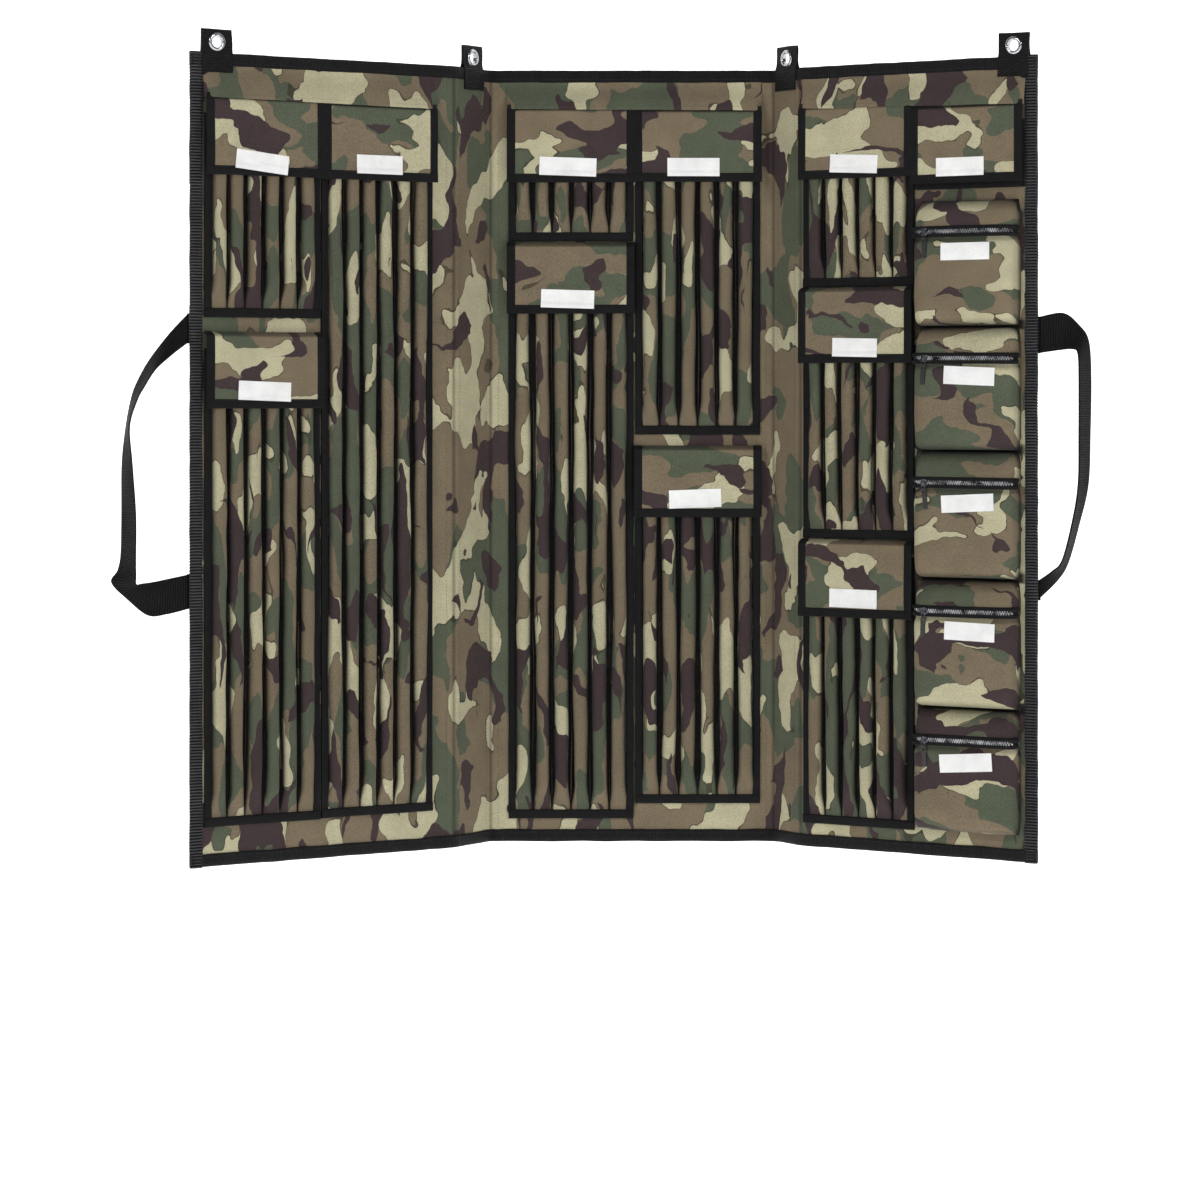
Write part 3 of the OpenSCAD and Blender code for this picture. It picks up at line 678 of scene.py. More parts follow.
HB1 = []
for nm, loc, x0, x1, node in (("centre", C, -CH + T1, CH - T1, "centre_binding"), ("left_spine", LSP, -LS + T1, -T1, "left_spine_binding"),
                              ("right_spine", RSP, T1, RS - T1, "right_spine_binding"), ("left", LWG, -LW + 0.3, -T1, "left_binding"),
                              ("right", RWG, T1, RW - 0.3, "right_binding")):
    binding(f"{nm}_top_binding", loc, 0.0, x0, x1, [node], "x", 1, seed=len(HB1) + 3)
    binding(f"{nm}_bottom_binding", loc, H, x0, x1, [node], "x", -1, seed=len(HB1) + 13)
    bind_stitch(loc, 0.0, x0 + 3, x1 - 3, "x", 1, 31)
    bind_stitch(loc, H, x0 + 3, x1 - 3, "x", -1, 32)
    HB1.append(nm)
for nm, A, xa, B, xb, sa in FOLDS:
    c, nrm, ln = fold_arc(A, xa, B, xb, sa, 15)
    for en, edge, s_ in (("top", 0.0, 1), ("bottom", H, -1)):
        pr = np.array(U_PROF)
        K = len(pr)
        V = np.zeros((len(c), K, 3))
        V[..., 0:2] = c[:, None] + pr[None, :, 1:2] * nrm[:, None]
        V[..., 2] = -UP - (edge + s_ * pr[None, :, 0])
        fab = np.zeros((len(c), K, 3))
        fab[..., 0] = np.concatenate([[0], np.cumsum(np.hypot(*np.diff(pr, axis=0).T))])[None] * 0.001
        fab[..., 1] = ln[:, None] * 0.001
        F = [(i * K + j, i * K + (j + 1) % K, (i + 1) * K + (j + 1) % K, (i + 1) * K + j) for i in range(len(c) - 1) for j in range(K)]
        F += [tuple(range(K - 1, -1, -1)), tuple((len(c) - 1) * K + j for j in range(K))]
        Vf = V.reshape(-1, 3)
        vol = sum(float(np.dot(Vf[f[0]], np.cross(Vf[f[q_]], Vf[f[q_ + 1]]))) for f in F for q_ in range(1, len(f) - 1))
        if vol < 0:
            F = [f[::-1] for f in F]
        ob = make(f"fold_binding_{nm}_{en}", Vf * 0.001, F, M_BIND, None, fab=fab, slot="black_webbing")
        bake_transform(ob)
binding("left_side_binding", LWG, -LW, -1.2, H + 1.4, ["left_binding"], "t", 1, seed=41, mat=M_SIDE, ribs=3.8)
binding("right_side_binding", RWG, RW, -1.2, H + 1.4, ["right_binding"], "t", -1, seed=42, mat=M_SIDE, ribs=3.8)
bind_stitch(LWG, -LW, 4, H - 4, "t", 1, 33)
bind_stitch(RWG, RW, 4, H - 4, "t", -1, 34)

# ---------------------------------------------------------------- stick tubes
STRIPS = [("left_outer", LWG, -359.5, 162.0, [(55, 330.3, 97), (349.3, 967, 94.7)]),
          ("left_inner", LWG, -196.0, 162.0, [(57, 966, 95.5)]),
          ("centre_left", C, -163.0, 165.0, [(50.4, 225, 97), (227.4, 986, 92.6)]),
          ("centre_right", C, 4.0, 165.0, [(52.2, 479.8, 94.3), (495.4, 966, 92.6)]),
          ("right_inner", RWG, 6.0, 162.0, [(53.6, 287.4, 93.4), (289, 613.7, 96.8), (616, 985.5, 99)]),
          ("right_outer", RWG, 169.5, 153.5, [(60, 165, 97.5)])]
TAPE_W = 10.2


def tube_sheet(loc, x0, w, tf, tb, seed):
    """Six soft pleats side by side, each a deep round fold, flattening into the bound bottom edge."""
    pitch = (w - 14) / 6
    tm = tf + 24
    rows = max(8, int((tb - 6 - tm) / 7.0))
    ts = np.linspace(tm, tb - 5.5, rows)
    na = 17
    al = np.linspace(math.pi, 0, na)
    cols_f, cols_b, us, occs = [], [], [], []
    r = np.random.RandomState(int(seed * 100) % 100000)
    flare = smooth(ts, tb - 46, tb - 13)
    for k in range(6):
        xc = x0 + 7 + (k + 0.5) * pitch
        sh = 1.15 * wob(ts / 95 + k * 3.1, ts * 0 + k, seed + k) + 0.5 * wob(ts / 27, ts * 0 + k, seed + 20 + k)
        hw = 9.2 + 0.95 * wob(ts / 80, ts * 0 + k * 1.7, seed + 40 + k) + 0.35 * wob(ts / 22, ts * 0, seed + 60 + k)
        hw = hw * (1 - flare) + (pitch / 2 - 0.8) * flare
        sh = sh * (1 - flare)
        dep = (11.0 + 0.5 * wob(ts / 60, ts * 0 + k, seed + 80 + k) + 0.3 * wob(ts / 17, ts * 0, seed + 90 + k)) * (1 - flare) + 1.7 * flare
        lean = 1.5 * wob(ts / 120, ts * 0 + k * 2.0, seed + 100 + k) * (1 - flare)
        ca, sa_ = np.cos(al), np.sin(al)
        px = np.sign(ca) * np.abs(ca) ** 0.80
        py = np.clip(sa_, 0, 1) ** 0.78
        X = xc + sh[:, None] + hw[:, None] * px[None] + lean[:, None] * py[None] ** 2
        dimple = 0.22 * wob(ts[:, None] / 9 + px[None], ts[:, None] / 31 + k, seed + 120 + k) * py[None]
        Dp = 2.75 + dep[:, None] * py[None] + dimple
        Xb = xc + sh[:, None] + (hw[:, None] - 0.75) * px[None] + lean[:, None] * py[None] ** 2
        Db = 2.25 + np.clip(dep[:, None] - 0.6, 0.2, 99) * py[None] + dimple
        if k:
            # the sewn valley between two pleats, with a narrow standing crease
            v0, v1 = cols_f[-1][:, -1], np.stack([X[:, 0], Dp[:, 0]], -1)
            mid = 0.5 + 0.24 * wob(ts / 90 + k, ts * 0, seed + 140 + k)
            high = np.clip(6.0 * wob(ts / 70 + k * 1.3, ts * 0 + k, seed + 160 + k) + 1.5, 0, 7.5) * (1 - flare)
            f = np.stack([0 * mid + 0.06, mid - 0.13, mid, mid + 0.13, 0 * mid + 0.94], 1)
            vx = v0[:, None, 0] * (1 - f) + v1[:, None, 0] * f
            hv = np.stack([0 * high, 0 * high, high, 0 * high, 0 * high], 1)
            cols_f.append(np.stack([vx, 2.6 + hv], -1))
            cols_b.append(np.stack([vx, 2.1 + np.clip(hv - 1.2, 0, 9)], -1))
            us += [k * 0.0425 - 0.0040, k * 0.0425 - 0.0030, k * 0.0425 - 0.0020, k * 0.0425 - 0.0010, k * 0.0425 - 0.0005]
            # painted shade in the sewn valley between pleats, lighter on the standing crease
            occs.append(1 - 0.62 * hv / 7.5)
        cols_f.append(np.stack([X, Dp], -1))
        cols_b.append(np.stack([Xb, Db], -1))
        arc = np.concatenate([[0], np.cumsum(np.hypot(np.diff(px * 10), np.diff(py * 11)))])
        us += list(k * 0.0425 + arc / arc[-1] * 0.0375)
        # painted shade on the pleat flanks: darkest at the valley floor, none on the crest
        occs.append(1 - smooth((Dp - 2.75) / dep[:, None], 0.0, 0.98) ** (0.8 - 0.45 * flare[:, None]))
    Fm, Bm = np.concatenate(cols_f, 1), np.concatenate(cols_b, 1)
    painted_shade = np.clip(np.concatenate(occs, 1), 0, 1)
    T = np.tile(ts[:, None], (1, Fm.shape[1]))
    Q = np.stack([Fm[..., 0], Fm[..., 1], T], -1)
    Qb = np.stack([Bm[..., 0], Bm[..., 1], T], -1)
    fab = np.stack([np.tile(np.array(us)[None], (rows, 1)) + 0.1 * seed, T * 0.001 * 0.9, np.full_like(T, 0.11 * seed)], -1)
    # the mouth and the sides fall in shade under the flap
    painted_shade = np.maximum(painted_shade, 0.75 * (1 - smooth(T, tf + 60, tf + 110)) * 0.6)
    return slab(Q, Qb, fab, painted_shade=painted_shade, loc=loc)


def bar(loc, pts, w, h, seed, crown=0.25, A=None, wave=0.25, edge=0.9, n=9, out=1.0):
    """A flat tape sewn down along pts (x, d, t): width lies in the panel's plane, height stands out of it."""
    P = np.asarray(pts, float)
    seg = np.diff(P, axis=0)
    tan = np.vstack([seg[:1], (seg[1:] + seg[:-1]) / 2, seg[-1:]])
    tan /= np.linalg.norm(tan, axis=1)[:, None]
    Bv = np.tile([0, out, 0], (len(P), 1)).astype(float)
    Bv -= (Bv * tan).sum(1)[:, None] * tan
    Bv /= np.linalg.norm(Bv, axis=1)[:, None]
    Av = np.cross(Bv, tan)
    s = np.concatenate([[0], np.cumsum(np.linalg.norm(seg, axis=1))])
    P = P + Av * (wave * wob(s / 24, s * 0, int(seed)))[:, None]
    V, F, fab = sweep(flat_prof(w, h, edge, crown, n), P, Av, Bv, seed=seed * 0.07, s=s)
    return loc.p(V.reshape(-1, 3)), [f[::-1] for f in F], fab.reshape(-1, 3)


def dense(p0, p1, step=8.0):
    n = max(3, int(np.linalg.norm(np.array(p1) - np.array(p0)) / step))
    return np.linspace(p0, p1, n)


FLAPS = []
k = 0
for si, (nm, loc, x0, w, lst) in enumerate(STRIPS):
    tubes, tapes = [], []
    for j, (tf, tb, ln) in enumerate(lst):
        k += 1
        seed = 3 + 7 * k
        FLAPS.append((k, loc, x0, w, tf, ln, j == 0, nm))
        tubes.append(tube_sheet(loc, x0, w, tf, tb, seed))
        h = 3.0
        tapes.append(bar(loc, dense((x0 + TAPE_W / 2, 2.3, tf + 20), (x0 + TAPE_W / 2, 2.3, tb - 0.8)), TAPE_W, h, seed + 1, 0.35))
        tapes.append(bar(loc, dense((x0 + w - TAPE_W / 2, 2.3, tf + 20), (x0 + w - TAPE_W / 2, 2.3, tb - 0.8)), TAPE_W, h, seed + 2, 0.35))
        tapes.append(bar(loc, dense((x0 + 0.3, 2.6, tb - 5.9), (x0 + w - 0.3, 2.6, tb - 5.9)), 11.8, h + 0.5, seed + 3, 0.35))
        dz = 2.3 + h + 0.3
        for xx in (x0 + TAPE_W - 1.6, x0 + w - TAPE_W + 1.6):
            sew_line((loc.body, "thread_black"), loc, xx, tf + 26, xx, tb - 12, dz, length=2.4, gap=1.0, w=0.5, h=0.3)
        sew_line((loc.body, "thread_black"), loc, x0 + 3, tb - 10.2, x0 + w - 3, tb - 10.2, dz + 0.8, length=2.4, gap=1.0, w=0.5, h=0.3)
    V, F, fab, painted_shade = join_parts(tubes)
    ob = make(f"stick_tubes_{nm}", V, F, M_TUBE, loc.body, fab=fab, painted_shade=painted_shade, slot="camo_fabric")
    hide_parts(f"tubes_{nm}")
    V, F, fab, painted_shade = join_parts(tapes)
    make(f"tube_edge_tape_{nm}", V, F, M_TAPE, loc.body, fab=fab, painted_shade=painted_shade, slot="black_webbing")

# ---------------------------------------------------------------- header bands over the flap roots
def header(name, loc, xa, xb, ta, tb_, seed):
    xs, ts = np.linspace(xa, xb, 44), np.linspace(0, 1, 16)
    X, S = grid(xs, ts)
    low = ta + (tb_ - ta) * (X - xa) / (xb - xa) + 1.0 + 0.5 * wob(X / 30, X * 0, seed)
    T = 12 + (low - 12) * S
    Dd = 2.75 + 13.0 * smooth(S, 0.05, 1.02) + 0.25 * wob(X / 26, T / 20, seed + 1) * smooth(S, 0.1, 0.6)
    side = np.minimum(smooth(X, xa, xa + 4), smooth(-X, -xb, -xb + 4))
    Dd = 2.5 + (Dd - 2.5) * (0.45 + 0.55 * side)
    Q = np.stack([X, Dd, T], -1)
    Qb = np.stack([X, Dd - 0.9, T], -1)
    fab = fabc(loc, X, T, 0.37)
    P, F, fb, oc = slab(Q, Qb, fab, loc=loc)
    ob = make(name, P, F, M_PANEL, loc.body, fab=fb, painted_shade=oc, slot="camo_fabric")
    Pn = np.stack([xs[1:-1], Dd[-2, 1:-1] + 0.02, low[-2, 1:-1] - 4.5], 1)
    sew((loc.body, "thread_dark"), stitches(Pn, out_n(len(Pn)), length=2.4, gap=1.2, w=0.45, h=0.2), loc)
    return ob


header("header_left", LWG, -361, -33, 55, 57, 21)
header("header_centre", C, -165, 171, 50.4, 52.2, 22)
header("header_right", RWG, 4.5, 324, 53.6, 60, 23)

# ---------------------------------------------------------------- flaps and their cards
CARD_TILT = {1: 6.0, 2: 2.1, 3: 0.2, 4: 2.0, 5: 1.7, 6: 0.1, 7: -2.1, 8: 2.8, 9: 1.3, 10: 0.7, 11: -0.1}
# length, height, and how far each card sits off the middle of its place: across, down
CARD_FIT = {1: (73, 24, -6.6, 5.0), 2: (73, 24, -5.3, 0.7), 3: (66, 24, -1.9, 2.3), 4: (75, 24, -5.0, 1.8), 5: (70, 24, -2.1, 3.3), 6: (68.5, 24, -5.7, 3.3),
            7: (68.5, 24, -5.7, -2.0), 8: (69, 23.5, 0.7, 4.0), 9: (65, 24, 0.0, 2.5), 10: (69, 24, 0.8, -2.4), 11: (67, 23.5, -7.5, 2.0)}


def flap_d(S, X, x0, w, ln, seed, T):
    """How far a flap's outer face stands out at T below its root. S is 1 under a header band, 0 where the flap folds off the panel."""
    rise = smooth(T, -1.5, 5.5) * (1 - S) + S * (0.80 + 0.20 * smooth(T, -5, 7))
    xx = (X - (x0 + w / 2)) / (w / 2)
    crown = 0.55 * (1 - xx ** 2) * smooth(T, 6, 40)
    belly = 0.9 * np.sin(np.clip(T / ln, 0, 1) * math.pi) * (1 - 0.4 * xx ** 2)
    return 3.4 + 11.6 * rise ** 0.8 + crown + belly * 0.6 + 0.28 * wob(X / 24, T / 20, seed) * smooth(T, 4, 18)


for k, loc, x0, w, tf, ln, upper, nm in FLAPS:
    seed = 300 + 11 * k
    S0 = 1.0 if upper else 0.0
    top = -5.0 if upper else -1.0
    body = f"flap_body_{k:02d}"
    g1, g2 = -1.2, w + 1.2
    xs = np.linspace(x0 + g1, x0 + g2, 40)
    ts = np.concatenate([np.linspace(top, 8, 14), np.linspace(8, 18, 4)[1:], np.linspace(18, ln - 1, 18)[1:]])
    X, T = grid(xs, ts)
    skew = 0.8 * wob(X / 60, T / 50, seed + 5)
    Dd = flap_d(S0, X, x0, w, ln, seed, T)
    Q = np.stack([X + 0.2 * skew, Dd, tf + T + 0.35 * skew * smooth(T, 10, 60)], -1)
    Qb = Q - np.array([0, 1.15, 0])
    fab = np.stack([(X - x0) * 0.001 + 0.37 * k, T * 0.001, np.full_like(X, 0.5 + 0.173 * k)], -1)
    # painted shadow: a dark band just under the header on upper flaps, lighter shade at the root of lower flaps
    painted_shade = (0.9 * (1 - smooth(T, 1.2, 4.5)) if upper else 0.35 * (1 - smooth(T, top, top + 7))) + 0 * X
    P, F, fb, oc = slab(Q, Qb, fab, painted_shade=painted_shade, loc=loc)
    ob = make(f"flap_{k:02d}_cloth", P, F, M_CROSS, None, fab=fb, painted_shade=oc, slot="camo_fabric")
    s0 = loc.p(np.array([x0 + w / 2, 10.2, tf]))
    s1 = loc.p(np.array([x0 + w / 2, 10.2, tf + 10]))
    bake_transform(ob)
    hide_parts(f"flap_{k:02d}")
    # its bound edges
    parts = []
    TW = 11.4
    n = 26
    tt = np.concatenate([np.linspace(0.8, 8, 8), np.linspace(8, ln, n - 7)[1:]])
    for sgn, xe in ((1, x0 + g1), (-1, x0 + g2)):
        xm = xe + sgn * (TW / 2 - 0.7)
        d_at = np.array([float(flap_d(S0, np.array(xm), x0, w, ln, seed, np.array(t_))) for t_ in tt])
        pts = np.stack([np.full(n, xm), d_at - 1.55, tf + tt], 1)
        parts.append(bar(loc, pts, TW, 2.3, seed + 1 + sgn, 0.2, edge=0.8))
    xx = np.linspace(x0 + g1 - 0.4, x0 + g2 + 0.4, 30)
    d_at = flap_d(S0, xx, x0, w, ln, seed, np.full(30, ln - 5.0))
    pts = np.stack([xx, d_at - 1.65, np.full(30, tf + ln - 5.4)], 1)
    parts.append(bar(loc, pts, TW + 0.2, 2.7, seed + 4, 0.2, edge=0.8))
    V, F, fab, painted_shade = join_parts(parts)
    ob = make(f"flap_{k:02d}_tape", V, F, M_TAPE, None, fab=fab, painted_shade=painted_shade, slot="black_webbing")
    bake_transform(ob)
    # sewing: along the tape and across at the top of the card pocket
    dd = lambda x, t: flap_d(S0, x, x0, w, ln, seed, t - tf)
    for sgn, xe in ((1, x0 + g1), (-1, x0 + g2)):
        xq = xe + sgn * (TW - 2.4)
        sew_line((body, "thread_black"), loc, xq, tf + 20, xq, tf + ln - 11, lambda x, t: dd(x, t) + 0.85, length=2.4, gap=1.0, w=0.5, h=0.3)
    sew_line((body, "thread_black"), loc, x0 + 9, tf + ln - 9.6, x0 + w - 9, tf + ln - 9.6, lambda x, t: dd(x, t) + 1.15, length=2.4, gap=1.0, w=0.5, h=0.3)
    yc = ln - 10 - 24.0 - 2.6
    for xa, xb in ((x0 + 12, x0 + w - 12),):
        sew_line((body, "thread_dark"), loc, xa, tf + yc, xb, tf + yc, lambda x, t: dd(x, t) + 0.02, length=2.4, gap=1.1, w=0.5, h=0.25)
    # the blank card
    ang = D(CARD_TILT[k])
    cl, chh, dxc, dtc = CARD_FIT.get(k, (71.0, 24.0, 0.0, 0.0))
    cx = np.linspace(-cl / 2, cl / 2, 16)
    ct = np.linspace(-chh / 2, chh / 2, 7)
    CX, CT = grid(cx, ct)
    xc, tc = x0 + w / 2 + (k * 37 % 5 - 2) * 1.1 + dxc, tf + ln - 10 - 12.0 + dtc
    RX = xc + CX * math.cos(ang) - CT * math.sin(ang)
    RT = tc + CX * math.sin(ang) + CT * math.cos(ang)
    Dc = flap_d(S0, RX, x0, w, ln, seed, RT - tf) + 0.75 + 0.25 * (CX / 38) ** 2 + 0.75 * smooth(RT - tf, ln - 15, ln - 11)
    Q = np.stack([RX, Dc, RT], -1)
    fab = np.stack([CX * 0.001 + k, CT * 0.001, 0 * CX + 0.3 * k], -1)
    P, F, fb, oc = slab(Q, Q - np.array([0, 0.55, 0]), fab, loc=loc)
    make(f"flap_{k:02d}_card", P, F, M_CARD, body, fab=fb, painted_shade=oc, slot="name_card", smooth_shade=False)

# ---------------------------------------------------------------- zipped pouches
PX, PW, PD = 175.0, 143.0, 29.0
POUCH = [(180, 335), (341, 494), (499, 655), (662, 820), (826, 982)]
PC = PX + PW / 2


SAG = [4.6, 3.6, 5.4, 4.6, 1.0]       # how far each pouch's foot hangs over the gap below it


def pouch_depth(T, h, ph):
    """Depth of the middle of a pouch at T below its top: a sloped top up to the zip, a tuck under it, a full belly, a rounded foot."""
    kt = np.array([0, 0.8, 3, 7, 13, 22, 33.5, 46.5, 49.5, 54, 64, 84, 0.72 * h, h - 20, h - 10, h - 4.8, h - 1.9, h - 0.4, h])
    kd = np.array([0.2, 6, 12.5, 17.5, 21.3, 23.8, 25.6, 26.6, 26.9, 28.4, 29.0, 29.3, 29.3, 29.2, 28.3, 24.6, 17.5, 7.5, 0.2])
    # linear interpolation through the knots
    return np.interp(T, kt, kd) * (1 + 0.02 * ph)


def pouch_point(S, T, h, seed, ph, extra=0.0):
    """S in -1..1 runs round the pouch from its left foot over the front to its right foot."""
    al = (1 - S) * math.pi / 2
    ca, sa_ = np.cos(al), np.clip(np.sin(al), 0, 1)
    e = 0.36
    X = np.sign(ca) * np.abs(ca) ** e
    Y = sa_ ** e
    dm = pouch_depth(T, h, ph)
    end = 1 - np.abs(2 * T / h - 1) ** 7
    hw = (PW / 2 - 0.6) * (0.955 + 0.045 * end) - 2.2 * smooth(np.abs(X) * Y, 0.2, 1.0) * (1 - smooth(T, 25, 50)) * 0.6
    hw = hw - 1.1 * np.exp(-((T - 48) / 6.0) ** 2) - 16.0 * (1 - np.sqrt(np.clip(1 - (1 - np.clip(T, 0, 18) / 18.0) ** 2, 0, 1))) * Y - 4.0 * (1 - np.sqrt(np.clip(1 - (1 - np.clip(h - T, 0, 8) / 8.0) ** 2, 0, 1))) * Y
    front = smooth(Y, 0.6, 1.0)
    wr = 1.0 * wob(S * 2.6, T / 19, seed, 6) + 0.42 * wob(S * 6, T / 9, seed + 1, 6)
    # soft creases running in from the corners
    for (cs, ct, a, m) in ((-0.62, h * 0.93, 0.8, 1.0), (0.60, h * 0.9, -0.9, 1.0), (-0.7, 56, -0.5, 0.8), (0.7, 60, 0.55, 0.9), (0.55, 20, 0.7, 0.7), (-0.5, 12, -0.6, 0.6)):
        q = (T - ct) / 14 - a * (S - cs) * 5 + 0.5 * wob(S * 3, T / 30, seed + 3)
        wr = wr - 1.7 * m * np.exp(-(q * 2.1) ** 2) * np.exp(-((S - cs) / 0.32) ** 2)
    zone = 1 - 0.8 * np.exp(-((T - 40) / 9.0) ** 2)
    mid = 1.2 * (1 - (X * 0.9) ** 2) * smooth(T, 44, 70) * (1 - smooth(T, h - 26, h)) * front
    Dd = 2.3 + dm * Y + (wr * zone + mid) * front + extra
    side = (1 - front) * (0.5 * wob(T / 12, S * 2, seed + 5))
    XX = PC + hw * X + side * np.sign(X) * smooth(Y, 0.1, 0.5) - extra * 0 + 0.5 * wob(T / 40, S, seed + 6) * front
    return XX, Dd


def pouch_normal(loc, xx, T, h, seed, ph):
    """Front d of a pouch at panel x (array) on its face."""
    S = np.linspace(-0.93, 0.93, 240)
    out = np.zeros(len(xx))
    for i, (x, t) in enumerate(zip(xx, T)):
        X, Dd = pouch_point(S, np.full_like(S, t), h, seed, ph)
        o = np.argsort(X)
        out[i] = np.interp(x, X[o], Dd[o])
    return out


zip_parts, teeth_parts, card_parts = [], [], []
for i, (ta, tb) in enumerate(POUCH):
    h, seed, ph = tb - ta + SAG[i], 500 + 17 * i, [0.3, -0.6, 0.5, 0.1, -0.2][i]
    S = np.concatenate([np.linspace(-1, -0.9, 5), np.linspace(-0.9, -0.55, 12)[1:], np.linspace(-0.55, 0.55, 26)[1:], np.linspace(0.55, 0.9, 12)[1:], np.linspace(0.9, 1, 5)[1:]])
    Tn = np.concatenate([np.linspace(0, 6, 6), np.linspace(6, 33, 11)[1:], np.linspace(33, 60, 16)[1:], np.linspace(60, h - 26, 18)[1:], np.linspace(h - 26, h - 5, 10)[1:], np.linspace(h - 5, h, 6)[1:]])
    SS, TT = grid(S, Tn)
    X, Dd = pouch_point(SS, TT, h, seed, ph)
    fold = 1.6 * np.exp(-((TT - 50.5) / 2.2) ** 2) * smooth(Dd, 12, 22)
    Q = np.stack([X, Dd - fold, ta + TT + 0.6 * wob(SS * 2, TT / 50, seed + 9) * smooth(TT, 0, 12) * smooth(-TT, -h, -h + 12)], -1)
    Xb, Db = PC + (X - PC) * 0.985, np.maximum(2.15, 2.15 + (Dd - fold - 2.3) - 1.3)
    Qb = np.stack([Xb, Db, Q[..., 2] * 0.985 + (ta + h / 2) * 0.015], -1)
    arc = np.cumsum(np.concatenate([np.zeros((len(Tn), 1)), np.hypot(np.diff(X, axis=1), np.diff(Dd, axis=1))], 1), 1)
    arcv = np.cumsum(np.concatenate([np.zeros((1, len(S))), np.hypot(np.diff(Q[..., 2], axis=0), np.diff(Q[..., 1], axis=0))], 0), 0)
    fab = np.stack([(arc + 300 * i) * 0.001, arcv * 0.001 + (0.03 * (TT > 40)), np.full_like(X, 0.9 + 0.31 * i)], -1)
    # painted shade: the sides where the pouch meets the panel, the fold under the zip, the top that faces up, and the
    # foot
    painted_shade = 0.85 * (1 - smooth(Dd, 3, 15)) + 0.45 * np.exp(-((TT - 49.5) / 2.6) ** 2) + 0.35 * (1 - smooth(TT, 0, 16)) + 0.35 * smooth(TT, h - 12, h)
    P, F, fb, oc = slab(Q, Qb, fab, painted_shade=np.clip(painted_shade, 0, 1), loc=RWG)
    ob = make(f"pouch_{i + 1}_shell", P, F, M_CROSS, "right_wing", fab=fb, painted_shade=oc, slot="camo_fabric")
    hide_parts(f"pouch_{i + 1}")
    # zip: a woven band that wraps the corners of the pouch, with a gap in its middle for the chain
    SZ = np.concatenate([np.linspace(-0.975, -0.5, 26), np.linspace(-0.5, 0.5, 22)[1:], np.linspace(0.5, 0.975, 26)[1:]])
    for za, zb, lf in ((32.9, 38.6, 1.0), (41.4, 47.3, 1.0), (38.0, 42.0, 0.5)):
        TZ = np.array([za, za + 0.5, za + 1.4, (za + zb) / 2, zb - 1.4, zb - 0.5, zb])
        SSz, TTz = grid(SZ, TZ)
        Xz, Dz = pouch_point(SSz, TTz, h, seed, ph)
        lift = np.array([0.5, 1.1, 1.3, 1.35, 1.3, 1.1, 0.5])[:, None]
        lift = lift * lf * (1 + 1.1 * smooth(np.abs(SSz), 0.45, 0.8))
        Xo = PC + (Xz - PC) * (1 + lift / 60.0)
        Tz = ta + TTz + 0.6 * wob(SSz * 2, TTz / 50, seed + 9) * smooth(TTz, 0, 12)
        Qz = np.stack([Xo, Dz + lift, Tz], -1)
        Qy = np.stack([PC + (Xz - PC) * 0.998, Dz - 0.4, Tz], -1)
        fz = np.stack([TTz * 0.001, (Xz + 0.6 * np.abs(Dz)) * 0.001, 0 * Xz + 0.2 * i], -1)
        zip_parts.append(slab(Qz, Qy, fz, loc=RWG))
    # the cloth's folded edges beside the zip
    # the zip's teeth: two rows of small blocks along the chain
    xs = np.arange(PX + 4.0, PX + PW - 3.0, 3.2)
    dq = pouch_normal(RWG, xs, np.full(len(xs), 40.0), h, seed, ph)
    for m, (x, d_) in enumerate(zip(xs, dq)):
        for s_ in (-1, 1):
            tw = 0.6 * float(wob(np.array((x - PC) / 71.0 * 0.5 * 2), np.array(40 / 50.0), seed + 9))
            c = np.array([x + (1.6 if s_ > 0 else 0), d_ + 1.1, ta + 40 + tw + s_ * 1.15])
            b0 = np.array([[-0.95, -0.9, -1.75], [0.95, -0.9, -1.75], [0.6, 0.85, -1.3], [-0.6, 0.85, -1.3], [-0.95, -0.9, 1.75], [0.95, -0.9, 1.75], [0.6, 0.85, 1.3], [-0.6, 0.85, 1.3]])
            teeth_parts.append((RWG.p(c + b0), [(0, 1, 2, 3), (7, 6, 5, 4), (0, 4, 5, 1), (1, 5, 6, 2), (2, 6, 7, 3), (3, 7, 4, 0)], np.zeros((8, 3))))
    # stitch rows each side of the zip
    for tq in (32.6, 48.0):
        xs = np.linspace(PX + 7, PX + PW - 7, 30)
        dq = pouch_normal(RWG, xs, np.full(30, tq), h, seed, ph)
        Pn = np.stack([xs, dq + 0.05, np.full(30, ta + tq)], 1)
        sew(("right_wing", "thread_dark"), stitches(Pn, out_n(30), length=2.4, gap=1.1, w=0.45, h=0.2), RWG)
    # the blank card, sewn on a little below the zip
    ang = D([-0.2, 2.3, -2.9, 1.4, -4.1][i])
    cl, chh = [(68, 22), (71, 23), (73, 22), (70, 23), (73, 23)][i]
    CX, CT = grid(np.linspace(-cl / 2, cl / 2, 16), np.linspace(-chh / 2, chh / 2, 7))
    xc, tc = PC + [7.4, 12.5, 11.1, 13.5, 7.8][i], 64.7 + [1.1, -2.4, 0.5, -0.2, 1.7][i]
    RX, RT = xc + CX * math.cos(ang) - CT * math.sin(ang), tc + CX * math.sin(ang) + CT * math.cos(ang)
    Dc = pouch_normal(RWG, RX.ravel(), RT.ravel(), h, seed, ph).reshape(RX.shape)
    Dc = Dc * 0.25 + Dc.max() * 0.75 + 0.4
    fab = np.stack([CX * 0.001 + i * 3, CT * 0.001, 0 * CX + 7.1 + 0.3 * i], -1)
    P, F, fb, oc = slab(np.stack([RX, Dc, ta + RT], -1), np.stack([RX, Dc - 0.6, ta + RT], -1), fab, loc=RWG)
    card_parts.append((P, F, fb, oc))

